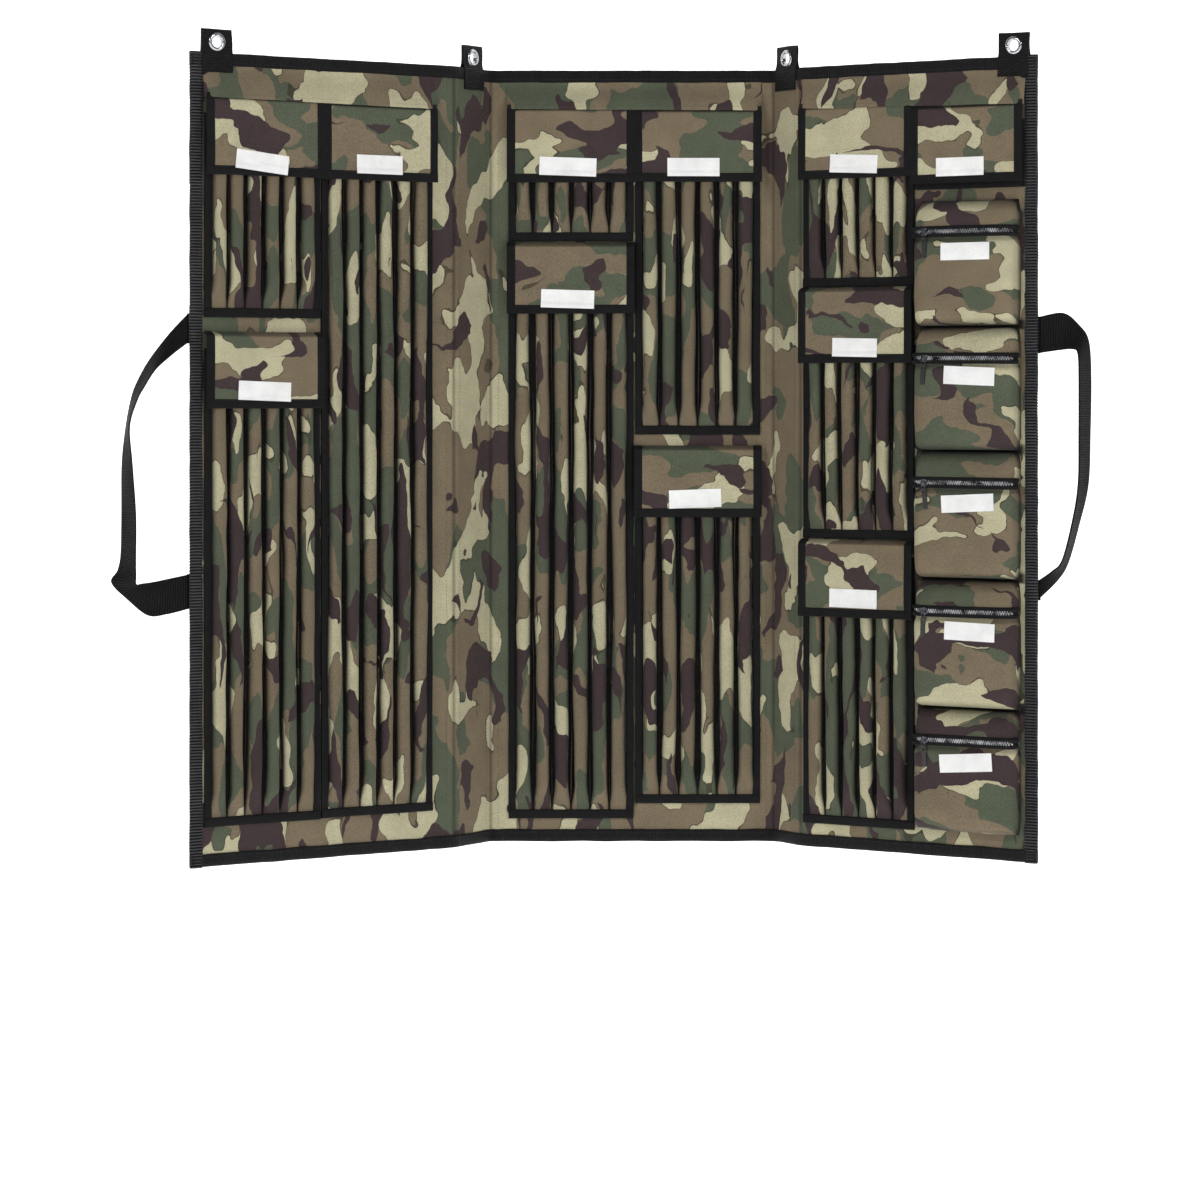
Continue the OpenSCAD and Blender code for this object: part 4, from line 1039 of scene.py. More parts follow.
V, F, fab, painted_shade = join_parts(zip_parts)
ob = make("pouch_zip_tape_bands", V, F, M_ZTAPE, "right_wing", fab=fab, painted_shade=painted_shade, slot="black_webbing")
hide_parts("pouch_zip_tapes")
V, F, fab, painted_shade = join_parts(teeth_parts)
make("pouch_zip_teeth", V, F, M_TEETH, "right_wing", fab=fab, painted_shade=painted_shade, slot="zip_metal", smooth_shade=False)
V, F, fab, painted_shade = join_parts(card_parts)
ob = make("pouch_cards_white", V, F, M_CARD, "right_wing", fab=fab, painted_shade=painted_shade, slot="name_card", smooth_shade=False)
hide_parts("pouch_cards")


def prism(outline, z0, z1, bevel=0.4, hole=None):
    """A plate from an outline in (x, t) at d from z0 to z1, with a small chamfer on its front edge. Returns (V, F)."""
    o = np.asarray(outline, float)
    n = len(o)
    c = o.mean(0)
    inn = c + (o - c) * (1 - bevel / np.maximum(np.linalg.norm(o - c, axis=1), 1e-6))[:, None]
    rings = [np.c_[inn[:, 0], np.full(n, z0), inn[:, 1]], np.c_[o[:, 0], np.full(n, z0 + bevel), o[:, 1]],
             np.c_[o[:, 0], np.full(n, z1 - bevel), o[:, 1]], np.c_[inn[:, 0], np.full(n, z1), inn[:, 1]]]
    V = np.concatenate(rings)
    F = []
    for r in range(3):
        for j in range(n):
            j2 = (j + 1) % n
            F.append((r * n + j, r * n + j2, (r + 1) * n + j2, (r + 1) * n + j))
    if hole is None:
        F.append(tuple(range(n - 1, -1, -1)))
        F.append(tuple(3 * n + j for j in range(n)))
        return V, F
    hh = np.asarray(hole, float)
    base = len(V)
    V = np.concatenate([V, np.c_[hh[:, 0], np.full(n, z0), hh[:, 1]], np.c_[hh[:, 0], np.full(n, z1), hh[:, 1]]])
    for j in range(n):
        j2 = (j + 1) % n
        F.append((j2, j, base + j, base + j2))
        F.append((3 * n + j, 3 * n + j2, base + n + j2, base + n + j))
        F.append((base + j, base + n + j, base + n + j2, base + j2))
    return V, F


def rrect(cx, ct, w, h, r, n=5):
    pts = []
    for qx, qt, a0 in ((w / 2 - r, h / 2 - r, 0), (-w / 2 + r, h / 2 - r, 90), (-w / 2 + r, -h / 2 + r, 180), (w / 2 - r, -h / 2 + r, 270)):
        for a in np.linspace(a0, a0 + 90, n):
            pts.append((cx + qx + r * math.cos(D(a)), ct + qt + r * math.sin(D(a))))
    return pts


def solid(name, parts, mat, body, loc, slot, smooth_shade=False, nodes=()):
    ps = [(loc.p(np.asarray(p[0])), p[1], np.zeros((len(p[0]), 3))) for p in parts]
    V, F, fab, painted_shade = join_parts(ps)
    ob = make(name, V, F, mat, body, fab=fab, painted_shade=painted_shade, slot=slot, smooth_shade=smooth_shade)
    bev = ob.modifiers.new("edge", "BEVEL")
    bev.width, bev.segments, bev.limit_method, bev.angle_limit = 0.00025, 2, "ANGLE", D(35)
    if nodes:
        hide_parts(*nodes)
    return ob


for i, (ta, tb) in enumerate(POUCH):
    h, seed, ph = tb - ta + SAG[i], 500 + 17 * i, [0.3, -0.6, 0.5, 0.1, -0.2][i]
    d0 = float(pouch_normal(RWG, np.array([PX + 20.0]), np.array([40.0]), h, seed, ph)[0]) + 0.6
    x, t = PX + 20.0, ta + 40.0
    body = [(x - 4.6, t - 3.6), (x - 2.0, t - 4.9), (x + 2.2, t - 4.9), (x + 4.6, t - 3.2), (x + 4.6, t + 3.2), (x + 2.2, t + 4.9), (x - 2.0, t + 4.9), (x - 4.6, t + 3.6)]
    parts = [prism(body, d0 - 0.2, d0 + 3.2, 0.6), prism(rrect(x, t, 6.4, 2.2, 1.0), d0 + 3.0, d0 + 5.0, 0.5)]
    tilt = [0.05, -0.06, 0.1, -0.03, 0.06][i]

    def lean(p, x=x, t=t, tilt=tilt):
        V = p[0].copy()
        V[:, 0] += (V[:, 2] - t) * tilt
        return V, p[1]
    ring = prism(rrect(x, t + 4.6, 5.6, 8.4, 2.7), d0 + 3.1, d0 + 4.4, 0.3, hole=rrect(x, t + 4.6, 3.2, 5.6, 1.5))
    pull = prism(rrect(x, t + 20.5, 6.4, 27.0, 2.6), d0 + 2.9, d0 + 4.6, 0.4, hole=rrect(x, t + 12.2, 3.4, 3.8, 1.4))
    grip = [prism(rrect(x, t + 18.5 + 2.6 * g, 4.4, 1.1, 0.5), d0 + 4.5, d0 + 5.1, 0.2) for g in range(5)]
    solid(f"zip_slider_{i + 1}_metal", parts + [lean(ring)], M_SLIDER, f"slider_body_{i + 1}", RWG, "zip_metal", nodes=[f"zip_slider_{i + 1}"])
    solid(f"zip_pull_{i + 1}", [lean(pull)] + [lean(g) for g in grip], M_PLASTIC, f"slider_body_{i + 1}", RWG, "black_plastic")

# ---------------------------------------------------------------- hanging tabs and eyelets
def tab(name, loc, xc, node, seed):
    W = 42.0
    path = []
    for t, d_ in ((28, 3.75), (24, 3.9), (16, 4.05), (8, 4.1), (3, 3.8), (-0.5, 3.0), (-3, 2.2), (-6, 1.45), (-10, 1.2), (-16, 1.1), (-22, 1.1), (-27, 1.05), (-29.4, 0.75), (-30.3, 0.15)):
        path.append((t, d_))
    pts = np.array(path)
    s = np.concatenate([[0], np.cumsum(np.hypot(*np.diff(pts, axis=0).T))])
    q = np.linspace(0, s[-1], 44)
    t_, d_ = np.interp(q, s, pts[:, 0]), np.interp(q, s, pts[:, 1])
    xs = np.linspace(-W / 2, W / 2, 31)
    X, Tm = grid(xs, t_)
    Dm = np.tile(d_[:, None], (1, 31))
    parts = []
    for sg in (1, -1):
        edge = 0.55 * wob(q / 9, q * 0 + sg, seed + sg)
        sel = np.sign(xs) * smooth(np.abs(xs), W / 2 - 3, W / 2)
        XX = xc + X + sel[None] * edge[:, None]
        TTq = Tm + 0.35 * wob(X / 12, Tm / 12, seed + 5)
        th = 1.5
        up = -TTq > 3
        din = np.where(Dm < 1.3, 0.12, Dm - 0.95)
        dout = Dm + 0.75 + 0.12 * wob(X / 8, Tm / 8, seed + 7 + sg)
        Q = np.stack([XX, sg * dout, TTq], -1)
        Qb = np.stack([XX, sg * din, TTq], -1)
        cx, ct = (X[:-1, :-1] + X[1:, 1:]) / 2, (Tm[:-1, :-1] + Tm[1:, 1:]) / 2
        keep = np.hypot(cx, ct + UP) > 9.0
        if sg < 0:
            Q, Qb, keep2, XXf = Q[:, ::-1], Qb[:, ::-1], keep[:, ::-1], X[:, ::-1]
        else:
            keep2, XXf = keep, X
        fab = np.stack([XXf * 0.001 + 0.05, np.tile(q[:, None], (1, 31)) * 0.001 + 0.1 * (sg < 0), np.full_like(X, seed * 0.3)], -1)
        parts.append(slab(Q, Qb, fab, loc=loc, keep=keep2))
    V, F, fab, painted_shade = join_parts(parts)
    ob = make(name, V, F, M_TAB, loc.body, fab=fab, painted_shade=painted_shade, slot="black_webbing")
    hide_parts(node)
    for sg in (1, -1):
        for (xa, ta, xb, tb_) in ((-18, 3, 18, 3), (-18, 24, 18, 24), (-18, 3, -18, 24), (18, 3, 18, 24), (-18, 3, 18, 24), (-18, 24, 18, 3)):
            sew_line((loc.body, "thread_black"), loc, xc + xa, ta, xc + xb, tb_, sg * 4.95, s=sg, length=2.2, gap=0.9, w=0.6, h=0.3)


def ring(name, loc, xc, node, seed):
    prof = [(7.0, 2.6), (7.25, 3.15), (8.0, 3.5), (9.2, 3.55), (10.4, 3.35), (11.2, 2.9), (11.5, 2.4), (11.3, 2.15), (9.1, 2.1), (9.0, 1.2)]
    prof = prof + [(r, -z) for r, z in prof[::-1]] + [(7.0, -1.2), (7.0, 0), (7.0, 1.2)]
    n, K = 56, len(prof)
    V = []
    for i in range(n):
        a = 2 * math.pi * i / n
        for r, z in prof:
            V.append((xc + r * math.cos(a), z, -UP + r * math.sin(a)))
    F = [(i * K + j, i * K + (j + 1) % K, ((i + 1) % n) * K + (j + 1) % K, ((i + 1) % n) * K + j) for i in range(n) for j in range(K)]
    V = np.array(V)
    # a light roll mark where the eyelet was set
    V[:, 1] += np.where(np.abs(V[:, 1]) > 3, 0.05 * np.sin(np.arctan2(V[:, 2] + UP, V[:, 0] - xc) * 9), 0)
    ob = make(name, loc.p(V), F, M_NICKEL, loc.body, fab=np.zeros((len(V), 3)), slot="nickel")
    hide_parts(node)


for nm, loc, xc, sd in (("left_edge", LWG, -341, 61), ("left_spine", LSP, -40, 62), ("right_spine", RSP, 28, 63), ("right_edge", RWG, 307, 64)):
    tab(f"tab_{nm}_webbing", loc, xc, f"tab_{nm}", sd)
    ring(f"eyelet_{nm}_ring", loc, xc, f"eyelet_{nm}", sd)

# ---------------------------------------------------------------- handles
def catmull(P, n):
    P = np.asarray(P, float)
    P = np.vstack([2 * P[0] - P[1], P, 2 * P[-1] - P[-2]])
    out = []
    for i in range(1, len(P) - 2):
        for u in np.linspace(0, 1, n, endpoint=False):
            a, b, c, d_ = P[i - 1], P[i], P[i + 1], P[i + 2]
            out.append(0.5 * ((2 * b) + (-a + c) * u + (2 * a - 5 * b + 4 * c - d_) * u ** 2 + (-a + 3 * b - 3 * c + d_) * u ** 3))
    out.append(P[-2])
    return np.array(out)


SQUASH = {}           # each handle's joint name, depth direction and hinge point, for flattening the turned webbing as the handle folds back against its wing; nothing in this script reads them


def handle(name, body, node, hinge, ax, depth_dir, stations, W, seed, sub=7, turn=1.0, joint=None):
    """Webbing from two edge lines. Each station is (a1, z1, a2, z2, twist): its two edges out along ax and up; twist is the share of
    the width that the picture plane doesn't show."""
    S = catmull([s[:4] + (s[4], s[5] if len(s) > 5 else 0.0) for s in stations], sub)
    ax, dd = np.array([ax[0], ax[1], 0.0]), np.array([depth_dir[0], depth_dir[1], 0.0])
    up = np.array([0, 0, 1.0])
    hinge = np.array([hinge[0], hinge[1], 0.0])
    e1 = S[:, 0:1] * ax + S[:, 1:2] * up
    e2 = S[:, 2:3] * ax + S[:, 3:4] * up
    v = e1 - e2
    vis = np.linalg.norm(v, axis=1)
    q = np.minimum(np.sqrt(np.clip(W ** 2 - vis ** 2, 0, None)), 21.0) * np.clip(S[:, 4], 0, 1)
    v = v + (turn * q)[:, None] * dd
    O = hinge + (e1 + e2) / 2 - (np.abs(q) * 0.5)[:, None] * dd + S[:, 5:6] * dd
    seg = np.diff(O, axis=0)
    tan = np.vstack([seg[:1], (seg[1:] + seg[:-1]) / 2, seg[-1:]])
    tan /= np.linalg.norm(tan, axis=1)[:, None]
    w = np.linalg.norm(v, axis=1)
    A = v / w[:, None]
    B = np.cross(tan, A)
    B /= np.linalg.norm(B, axis=1)[:, None]
    s = np.concatenate([[0], np.cumsum(np.linalg.norm(seg, axis=1))])
    prof = np.array(flat_prof(1.0, 1.9, 0.02, 0.0, 11))
    prof[:, 1] -= 0.95
    cup = 0.035
    N, K = len(O), len(prof)
    V = O[:, None] + (prof[None, :, 0:1] * w[:, None, None]) * A[:, None] + (prof[None, :, 1:2] + (0.9 * wob(s / 26, s * 0, seed))[:, None, None] * (0.25 - prof[None, :, 0:1] ** 2) * 3) * B[:, None]
    fab = np.zeros((N, K, 3))
    fab[..., 0] = prof[None, :, 0] * W * 0.001
    fab[..., 1] = s[:, None] * 0.001
    fab[..., 2] = seed * 0.3
    F = [(i * K + j, i * K + (j + 1) % K, (i + 1) * K + (j + 1) % K, (i + 1) * K + j) for i in range(N - 1) for j in range(K)]
    F += [tuple(range(K - 1, -1, -1)), tuple((N - 1) * K + j for j in range(K))]
    ob = make(name, V.reshape(-1, 3) * 0.001, F, M_STRAP, body, fab=fab, slot="black_webbing")
    if node:
        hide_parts(node)
    if joint:
        SQUASH[body] = (joint, tuple(float(v_) for v_ in dd), tuple(float(v_) for v_ in hinge * 0.001))
        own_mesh(ob)
    # edge sewing along both selvages
    for side in (-0.41, 0.41):
        for sg in (1, -1):
            P = O + A * (side * w)[:, None] + B * sg * 1.0
            STITCH.setdefault((body, "thread_black"), []).append(tuple(np.array(a) * (0.001 if i_ == 0 else 1) if i_ != 1 else a for i_, a in enumerate(stitches(P, B * sg, length=2.4, gap=1.2, w=0.5, h=0.22))))
    return ob


TURN = 6.4
zh = -UP - 425
hl = LWG.o + (-LW) * LWG.ex - TURN * LWG.n
hr = RWG.o + RW * RWG.ex - TURN * RWG.n
left_st = [(-1.6, 100, -1.6, 63, 0.0), (4, 95, 3, 60, 0.1), (24, 73, 20, 46, 0.5), (48, 41, 38, 29, 0.9), (63, 14, 52, 7, 1), (70.5, -7, 60.5, -9, 1), (77, -42, 70, -42, 1),
           (82, -88, 66.5, -88, 1), (82.5, -150, 62, -150, 1), (83.5, -200, 62, -206, 1), (87.5, -221, 62, -228, 0.9), (95.5, -236, 62, -238, 0.7), (76, -257, 55, -237, 0.4),
           (50, -277.5, 43, -235.5, 0.1), (26, -276, 24, -231.5, 0.1), (-1.6, -269, -1.6, -226, 0.0)]
left_st = [tuple([s[0], s[1] + zh, s[2], s[3] + zh, s[4]]) for s in left_st]
handle("handle_left_webbing", "handle_left_body", "handle_left", hl, (-1, 0), (0, 1), left_st, 40.0, 71, joint="handle_left_swing")
right_st = [(-1.6, 96, -1.6, 50, 0.0), (30, 101, 26, 54, 0.1), (50, 86, 40, 55, 0.5), (62, 66, 46, 50, 0.8), (65, 20, 47, 20, 1), (64, -50, 47, -50, 1), (61.5, -115, 46, -115, 1),
            (50, -165, 38, -165, 1), (36, -214, 26, -210, 1), (22, -237, 14, -224, 0.7), (-1.6, -261, -1.6, -236, 0.0)]
right_st = [tuple([s[0], s[1] + zh, s[2], s[3] + zh, s[4]]) for s in right_st]
handle("handle_right_webbing", "handle_right_body", "handle_right", hr, (1, 0), (0, 1), right_st, 46.0, 72, joint="handle_right_swing")
zc = -UP - 508
rr = [(-1.6, 193, -1.6, 143, 0), (50, 166, 45, 117, 0), (98, 134, 88, 92, 0), (134, 98, 106, 66, 0), (157, 58, 121, 38, 0), (165, 0, 126, 0, 0),
      (157, -58, 121, -38, 0), (134, -98, 106, -66, 0), (98, -134, 88, -92, 0), (50, -166, 45, -117, 0), (-1.6, -193, -1.6, -143, 0)]
rr = [tuple([s[0], s[1] + zc, s[2], s[3] + zc, s[4]]) for s in rr]
handle("handle_rear_webbing", "handle_rear_body", "handle_rear", (CH, TURN), (math.cos(D(20)), math.sin(D(20))), (-math.sin(D(20)), math.cos(D(20))), rr, 42.0, 73, sub=9)

# the sewn roots of the handles, on the backs of the panels behind the binding
for nm, loc, xe, sg, rows in (("left", LWG, -LW, -1, ((344.5, 37.5), (672.5, 43.5))), ("right", RWG, RW, 1, ((352.0, 46.5), (673.5, 25.5))), ("rear", C, CH, 1, ((340.0, 50.0), (676.0, 50.0)))):
    parts = [bar(loc, [(xe - sg * 19, -4.7, t_), (xe - sg * 9, -4.75, t_), (xe - sg * 3, -5.0, t_), (xe + sg * 0.2, -5.4, t_), (xe + sg * 1.4, -5.5, t_)], w_, 1.9, 140 + t_, 0.1, wave=0.2, out=-1.0, edge=0.9, n=11) for t_, w_ in rows]
    V, F, fab, painted_shade = join_parts(parts)
    make(f"handle_{nm}_roots", V, F, M_STRAP, loc.body, fab=fab, painted_shade=painted_shade, slot="black_webbing")
    for t_, w_ in rows:
        for e in (-0.36, 0.36):
            sew_line((loc.body, "thread_black"), loc, xe - sg * 17, t_ + e * w_, xe - sg * 2, t_ + e * w_, -6.85, s=-1, length=2.4, gap=1.2, w=0.5, h=0.25)
        sew_line((loc.body, "thread_black"), loc, xe - sg * 15, t_ - 0.36 * w_, xe - sg * 15, t_ + 0.36 * w_, -6.75, s=-1, length=2.4, gap=1.2, w=0.5, h=0.25)

# ---------------------------------------------------------------- back: webbing, window, patch, buckles
def strap(loc, x0, x1, t, seed, w=50.0, d0=-3.15, h=1.65):
    return bar(loc, dense((x0, d0, t), (x1, d0, t), 7.0), w, h, seed, 0.1, wave=0.4, out=-1.0, edge=0.8, n=11)


def box_x(loc, xa, xb, t, hw=21.0, d0=-4.85):
    for (p, q, r_, s_) in ((xa, -hw, xb, -hw), (xa, hw, xb, hw), (xa, -hw, xa, hw), (xb, -hw, xb, hw), (xa, -hw, xb, hw), (xa, hw, xb, -hw)):
        sew_line((loc.body, "thread_black"), loc, p, t + q, r_, t + s_, d0 - 0.1, s=-1, length=2.6, gap=1.1, w=0.6, h=0.3)


ST = [139, 340, 676, 890]
for nm, loc, x0, x1, idx, node in (("left", LWG, -376, -T1 - 0.5, (0, 1, 2, 3), "webbing_left_back"), ("left_spine", LSP, -LS + T1 + 0.5, -T1 - 0.5, (0, 1, 2, 3), "webbing_left_spine"),
                                   ("centre", C, -CH + T1 + 0.5, 187, (0, 1, 2, 3), "webbing_centre_back"), ("right", RWG, 189, 338, (1, 2), "webbing_right_back")):
    parts = [strap(loc, x0, x1, ST[i], 80 + i + int(x0)) for i in idx]
    V, F, fab, painted_shade = join_parts(parts)
    ob = make(f"back_webbing_{nm}", V, F, M_STRAP, loc.body, fab=fab, painted_shade=painted_shade, slot="black_webbing")
    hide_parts(node)
    for i in idx:
        for e in (-22.6, 22.6):
            sew_line((loc.body, "thread_black"), loc, x0 + 3, ST[i] + e, x1 - 3, ST[i] + e, -4.95, s=-1, length=2.6, gap=1.2, w=0.5, h=0.25)
        if nm in ("left", "right") and i in (1, 2):
            box_x(loc, (x0 + 6) if nm == "left" else (x1 - 46), (x0 + 46) if nm == "left" else (x1 - 6), ST[i])
        if nm == "centre":
            box_x(loc, x1 - 46, x1 - 6, ST[i])
        if nm == "right":
            box_x(loc, x0 + 5, x0 + 25, ST[i])
for j, t in enumerate(ST):
    fold_strip(f"back_webbing_fold_inner_{j + 1}", C, -CH + T1 + 2, LSP, -T1 - 2, -1, M_STRAP, -4.85, -3.2, t - 25, t + 25, 3.3, rows=14, slot="black_webbing", crease=0.0)
    fold_strip(f"back_webbing_fold_outer_{j + 1}", LSP, -LS + T1 + 2, LWG, -T1 - 2, -1, M_STRAP, -4.85, -3.2, t - 25, t + 25, 3.6, rows=14, slot="black_webbing", crease=0.0)

# clear name window with a black tape frame, and a blank patch
zm = H / 2
WX0, WX1 = -LW + 158, -LW + 231
X, T = grid(np.linspace(WX0 + 3, WX1 - 3, 24), np.linspace(zm - 49, zm + 49, 30))
Dv = -2.9 - 0.35 * wob(X / 15, T / 18, 90)
fab = np.stack([X * 0.001, T * 0.001, 0 * X], -1)
P, F, fb, oc = slab(np.stack([X, Dv, T], -1)[:, ::-1], np.stack([X, Dv + 0.35, T], -1)[:, ::-1], fab[:, ::-1], loc=LWG)
ob = make("id_window_vinyl", P, F, M_VINYL, "left_wing", fab=fb, painted_shade=oc, slot="clear_window")
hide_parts("id_window")
fr = [((WX0 + 4, -2.6, zm - 52), (WX0 + 4, -2.6, zm + 52)), ((WX1 - 4, -2.6, zm - 52), (WX1 - 4, -2.6, zm + 52)), ((WX0, -2.7, zm + 48), (WX1, -2.7, zm + 48)), ((WX0, -2.7, zm - 48), (WX1, -2.7, zm - 48))]
V, F, fab, painted_shade = join_parts([bar(LWG, dense(a, b), 8.0, 0.9, 91 + i, 0.1, wave=0.2, out=-1.0) for i, (a, b) in enumerate(fr)])
make("id_window_frame_tape", V, F, M_TAPE, "left_wing", fab=fab, painted_shade=painted_shade, slot="black_webbing")
for e in (1, -1):
    sew_line(("left_wing", "thread_black"), LWG, WX0 + 4, zm + 48 * e, WX1 - 4, zm + 48 * e, -3.75, s=-1, w=0.5, h=0.25)
    sew_line(("left_wing", "thread_black"), LWG, (WX0 + WX1) / 2 + e * (WX1 - WX0 - 8) / 2, zm - 46, (WX0 + WX1) / 2 + e * (WX1 - WX0 - 8) / 2, zm + 46, -3.75, s=-1, w=0.5, h=0.25)
X, T = grid(np.linspace(-LW + 93, -LW + 145, 18), np.linspace(zm - 29.5, zm + 29.5, 18))
Dv = -3.15 - 0.12 * wob(X / 12, T / 12, 95) + 0 * X
fab = np.stack([X * 0.001, T * 0.001, 0 * X + 4.4], -1)
P, F, fb, oc = slab(np.stack([X, Dv, T], -1)[:, ::-1], np.stack([X, Dv * 0 - 2.15, T], -1)[:, ::-1], fab[:, ::-1], loc=LWG)
ob = make("blank_patch_cloth", P, F, M_TAPE, "left_wing", fab=fb, painted_shade=oc, slot="black_patch")
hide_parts("blank_patch")
for e in (1, -1):
    sew_line(("left_wing", "thread_black"), LWG, -LW + 95, zm + 27.5 * e, -LW + 143, zm + 27.5 * e, -3.35, s=-1, w=0.6, h=0.3)
    sew_line(("left_wing", "thread_black"), LWG, -LW + 119 + 24 * e, zm - 27, -LW + 119 + 24 * e, zm + 27, -3.35, s=-1, w=0.6, h=0.3)

# side-release buckles: sockets on the left wing, plugs on the loose straps
def back(p, loc=None):
    V = p[0].copy()
    V[:, 1] *= -1
    return V, [f[::-1] for f in p[1]]


for nm, t in (("upper", 139.0), ("lower", 890.0)):
    x0, x1 = -LW + 12, -LW + 74
    parts = [back(prism([(x0, t - 29), (x0 + 3, t - 31), (x0 + 40, t - 31), (x0 + 46, t - 27), (x1 - 3, t - 27), (x1, t - 24), (x1, t + 24), (x1 - 3, t + 27), (x0 + 46, t + 27), (x0 + 40, t + 31), (x0 + 3, t + 31), (x0, t + 29)], 4.9, 8.0, 0.8)),
             back(prism([(x0, t - 29), (x0 + 3, t - 31), (x0 + 40, t - 31), (x0 + 46, t - 27), (x1 - 3, t - 27), (x1, t - 24), (x1, t + 24), (x1 - 3, t + 27), (x0 + 46, t + 27), (x0 + 40, t + 31), (x0 + 3, t + 31), (x0, t + 29)], 15.8, 18.9, 1.2)),
             back(prism(rrect((x0 + 40 + x1) / 2, t, x1 - x0 - 40, 54, 3), 7.9, 15.9, 0.3))]
    for e in (-1, 1):
        parts.append(back(prism(rrect(x0 + 6, t + e * 28.4, 12, 5.0, 1.2), 7.9, 15.9, 0.3)))
        parts.append(back(prism(rrect(x0 + 38, t + e * 28.4, 9, 5.0, 1.2), 7.9, 15.9, 0.3)))
    for g in range(4):
        parts.append(back(prism(rrect(x0 + 45 + 4.6 * g, t, 1.8, 40, 0.8), 18.6, 19.5, 0.25)))
    solid(f"buckle_socket_{nm}_plastic", parts, M_PLASTIC, "left_wing", LWG, "black_plastic", nodes=["buckle_sockets"])
    xe = CH
    V, F, fab = bar(C, dense((xe - 107.5, -5.45, t), (xe - 1, -5.45, t), 6.0), 48.0, 1.7, 97, 0.1, wave=0.3, out=-1.0, n=11)
    ob = make(f"buckle_strap_{nm}_webbing", V, F, M_STRAP, f"buckle_strap_{nm}_body", fab=fab, slot="black_webbing")
    for e in (-21.5, 21.5):
        sew_line((f"buckle_strap_{nm}_body", "thread_black"), C, xe - 104, t + e, xe - 4, t + e, -7.3, s=-1, w=0.5, h=0.25)
    sew_line((f"buckle_strap_{nm}_body", "thread_black"), C, xe - 92, t - 21, xe - 92, t + 21, -7.3, s=-1, w=0.6, h=0.3)
    xa, xb = xe - 136, xe - 108.1
    parts = [back(prism(rrect((xa + xb) / 2, t, xb - xa, 58, 5), 5.6, 14.2, 1.4, )),
             back(prism(rrect(xe - 150, t, 43, 9.5, 2.0), 6.6, 12.8, 1.0))]
    for e in (-1, 1):
        arm = [(xa + 1, t + e * 13), (xa - 14, t + e * 14.5), (xa - 27, t + e * 15.5), (xa - 35.8, t + e * 16.5), (xa - 35.0, t + e * 21), (xa - 24, t + e * 25.5), (xa - 20, t + e * 21.5), (xa - 10, t + e * 20), (xa + 1, t + e * 19.5)]
        parts.append(back(prism(arm if e > 0 else arm, 6.6, 12.8, 0.9)))
    for g in range(3):
        parts.append(back(prism(rrect(xa + 8 + 5 * g, t, 1.8, 44, 0.8), 14.0, 14.8, 0.25)))
    ob = solid(f"buckle_plug_{nm}_plastic", parts, M_PLASTIC, f"buckle_strap_{nm}_body", C, "black_plastic", nodes=[f"buckle_strap_{nm}"])

# ---------------------------------------------------------------- fold-line sewing and all the thread
for (loc, x) in ((C, -CH + T1 + 3.5), (C, CH - T1 - 3.5), (LSP, -T1 - 2.0), (LSP, -LS + T1 + 2.0), (RSP, T1 + 2.0), (RSP, RS - T1 - 2.0), (LWG, -T1 - 4.0), (RWG, T1 + 1.5)):
    for sg in (1, -1):
        if sg < 0 and loc in (LSP, RSP):
            continue
        sew_line((loc.body, "thread_dark"), loc, x, 17, x, H - 17, sg * (HB + 0.1), s=sg, length=3.0, gap=1.3, w=0.6, h=0.25)
MATS = {"thread_dark": M_THREAD_D, "thread_black": M_THREAD_B, "thread_olive": M_THREAD_O}
for (body, kind), parts in STITCH.items():
    parts = [p for p in parts if len(p[0])]
    if not parts:
        continue
    V, F, fab, painted_shade = join_parts(parts)
    ob = make(f"sewing_{kind[7:]}_{body}", V, F, MATS[kind], body, fab=fab, painted_shade=painted_shade, slot="black_webbing" if kind == "thread_black" else "camo_fabric")
    if body in SQUASH:
        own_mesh(ob)

# ---------------------------------------------------------------- floor, light, camera
def area(name, loc, target, size, power, size_y=None, color=(1, 1, 1)):
    li = bpy.data.lights.new(name, "AREA")
    li.energy, li.size, li.color = power, size, color
    if size_y:
        li.shape, li.size_y = "RECTANGLE", size_y
    ob = bpy.data.objects.new(name, li)
    ob.location = loc
    ob.rotation_euler = (Vector(target) - Vector(loc)).to_track_quat("-Z", "Y").to_euler()
    bpy.context.scene.collection.objects.link(ob)
    return ob


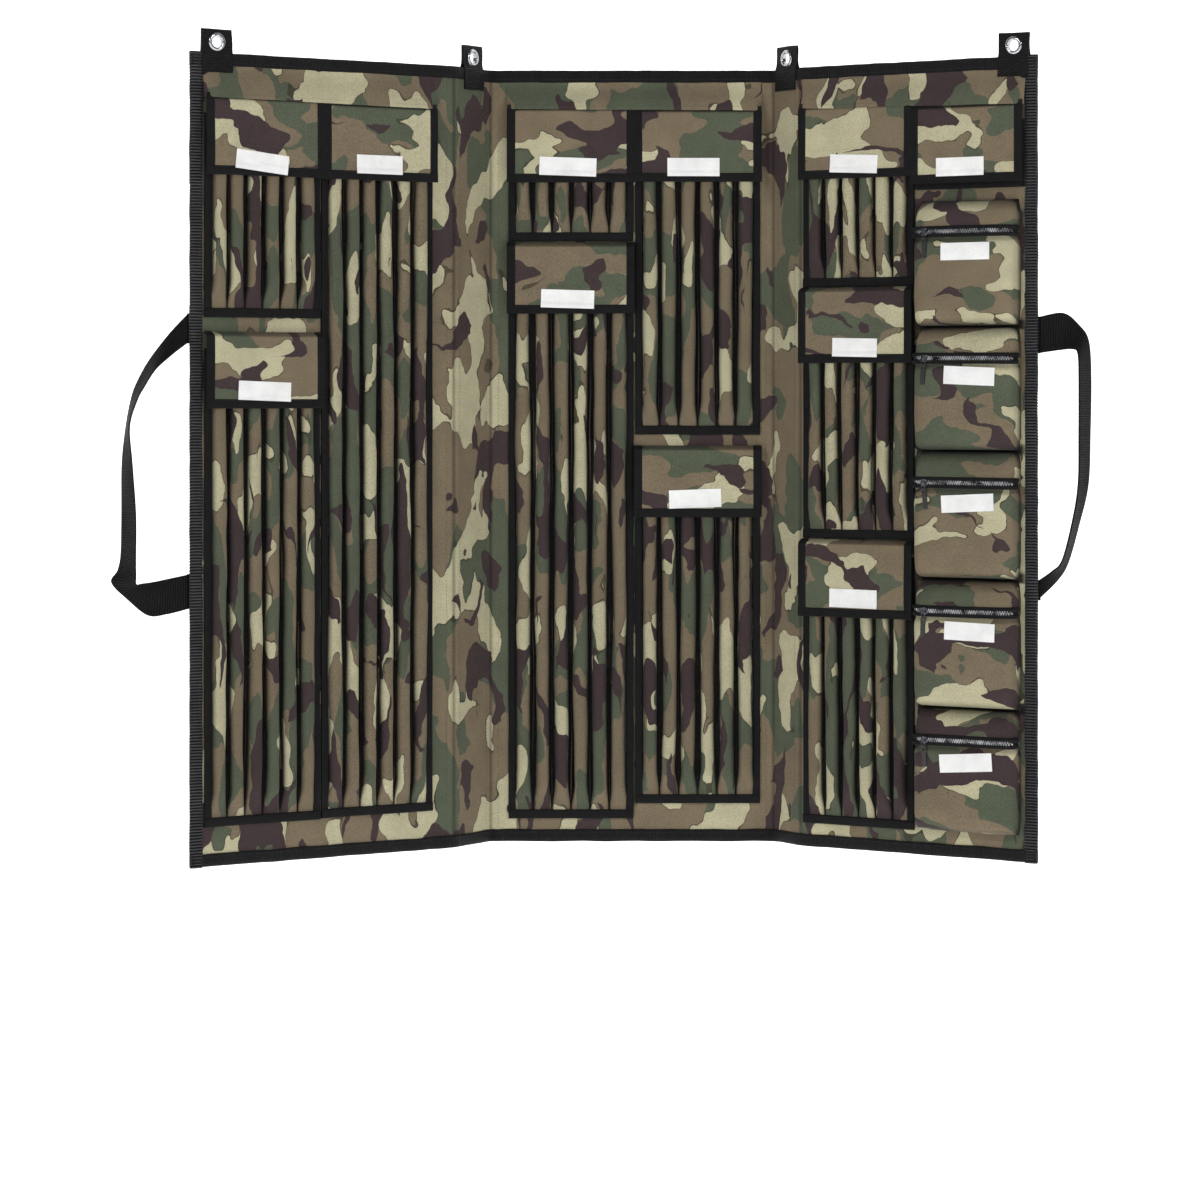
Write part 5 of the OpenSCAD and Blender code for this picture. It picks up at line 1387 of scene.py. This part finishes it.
def floor():
    me = bpy.data.meshes.new("floor")
    n, R = 40, 40.0
    V, F = [], []
    prof = [(-R, -1.62), (3.2, -1.62)] + [(3.2 + 2.4 * math.sin(a), 0.78 - 2.4 * math.cos(a)) for a in np.linspace(0, math.pi / 2, 16)][1:] + [(5.6, R)]
    for y, z in prof:
        V += [(-R, y, z), (R, y, z)]
    for i in range(len(prof) - 1):
        F.append((2 * i, 2 * i + 1, 2 * i + 3, 2 * i + 2))
    me.from_pydata(V, [], F)
    me.polygons.foreach_set("use_smooth", [True] * len(F))
    ob = bpy.data.objects.new("floor", me)
    bpy.context.scene.collection.objects.link(ob)
    m, nt, b = new_mat("floor_pale")
    g = G(nt)
    tc = g.node("ShaderNodeTexCoord").outputs["Object"]
    g.put(b.inputs["Base Color"], g.mix(g.step(g.noise(tc, 3.0, 2.0, 0.5), 0.3, 0.7), (0.93, 0.93, 0.93, 1), (0.96, 0.96, 0.96, 1)))
    b.inputs["Roughness"].default_value = 0.9
    b.inputs["Specular IOR Level"].default_value = 0.1
    em = b.inputs["Emission Color"]
    em.default_value = (1, 1, 1, 1)
    b.inputs["Emission Strength"].default_value = 0.9
    me.materials.append(m)


floor()
area("key_left", (-2.5, -3.4, 1.35), (0.0, 0.0, -0.50), 0.36, 51, 0.5)
area("key_right", (2.5, -3.4, 1.35), (0.0, 0.0, -0.50), 0.36, 51, 0.5)
area("fill_front", (0.0, -5.6, 0.9), (0.0, 0.0, -0.55), 3.0, 9)
area("fill_low", (0.0, -3.5, -1.45), (0.0, 0.0, -0.5), 2.0, 4)
area("fill_back", (0.0, 3.0, 1.2), (0.0, 0.0, -0.5), 2.5, 16)
world = bpy.data.worlds.new("studio")
world.use_nodes = True
world.node_tree.nodes["Background"].inputs[0].default_value = (1, 1, 1, 1)
world.node_tree.nodes["Background"].inputs[1].default_value = 0.10
bpy.context.scene.world = world

cam = bpy.data.cameras.new("camera")
cam.sensor_width, cam.sensor_fit, cam.lens = 36.0, "HORIZONTAL", 108.0
cam.shift_x, cam.shift_y = -0.0267, -0.1725
cam.clip_start, cam.clip_end = 0.05, 200
cam.dof.use_dof = False
co = bpy.data.objects.new("camera", cam)
co.location, co.rotation_euler = (0.0, -4.752, -0.439), (math.pi / 2, 0, 0)
bpy.context.scene.collection.objects.link(co)
bpy.context.scene.camera = co
bpy.context.scene.view_settings.view_transform = "Standard"
bpy.context.scene.view_settings.look = "None"
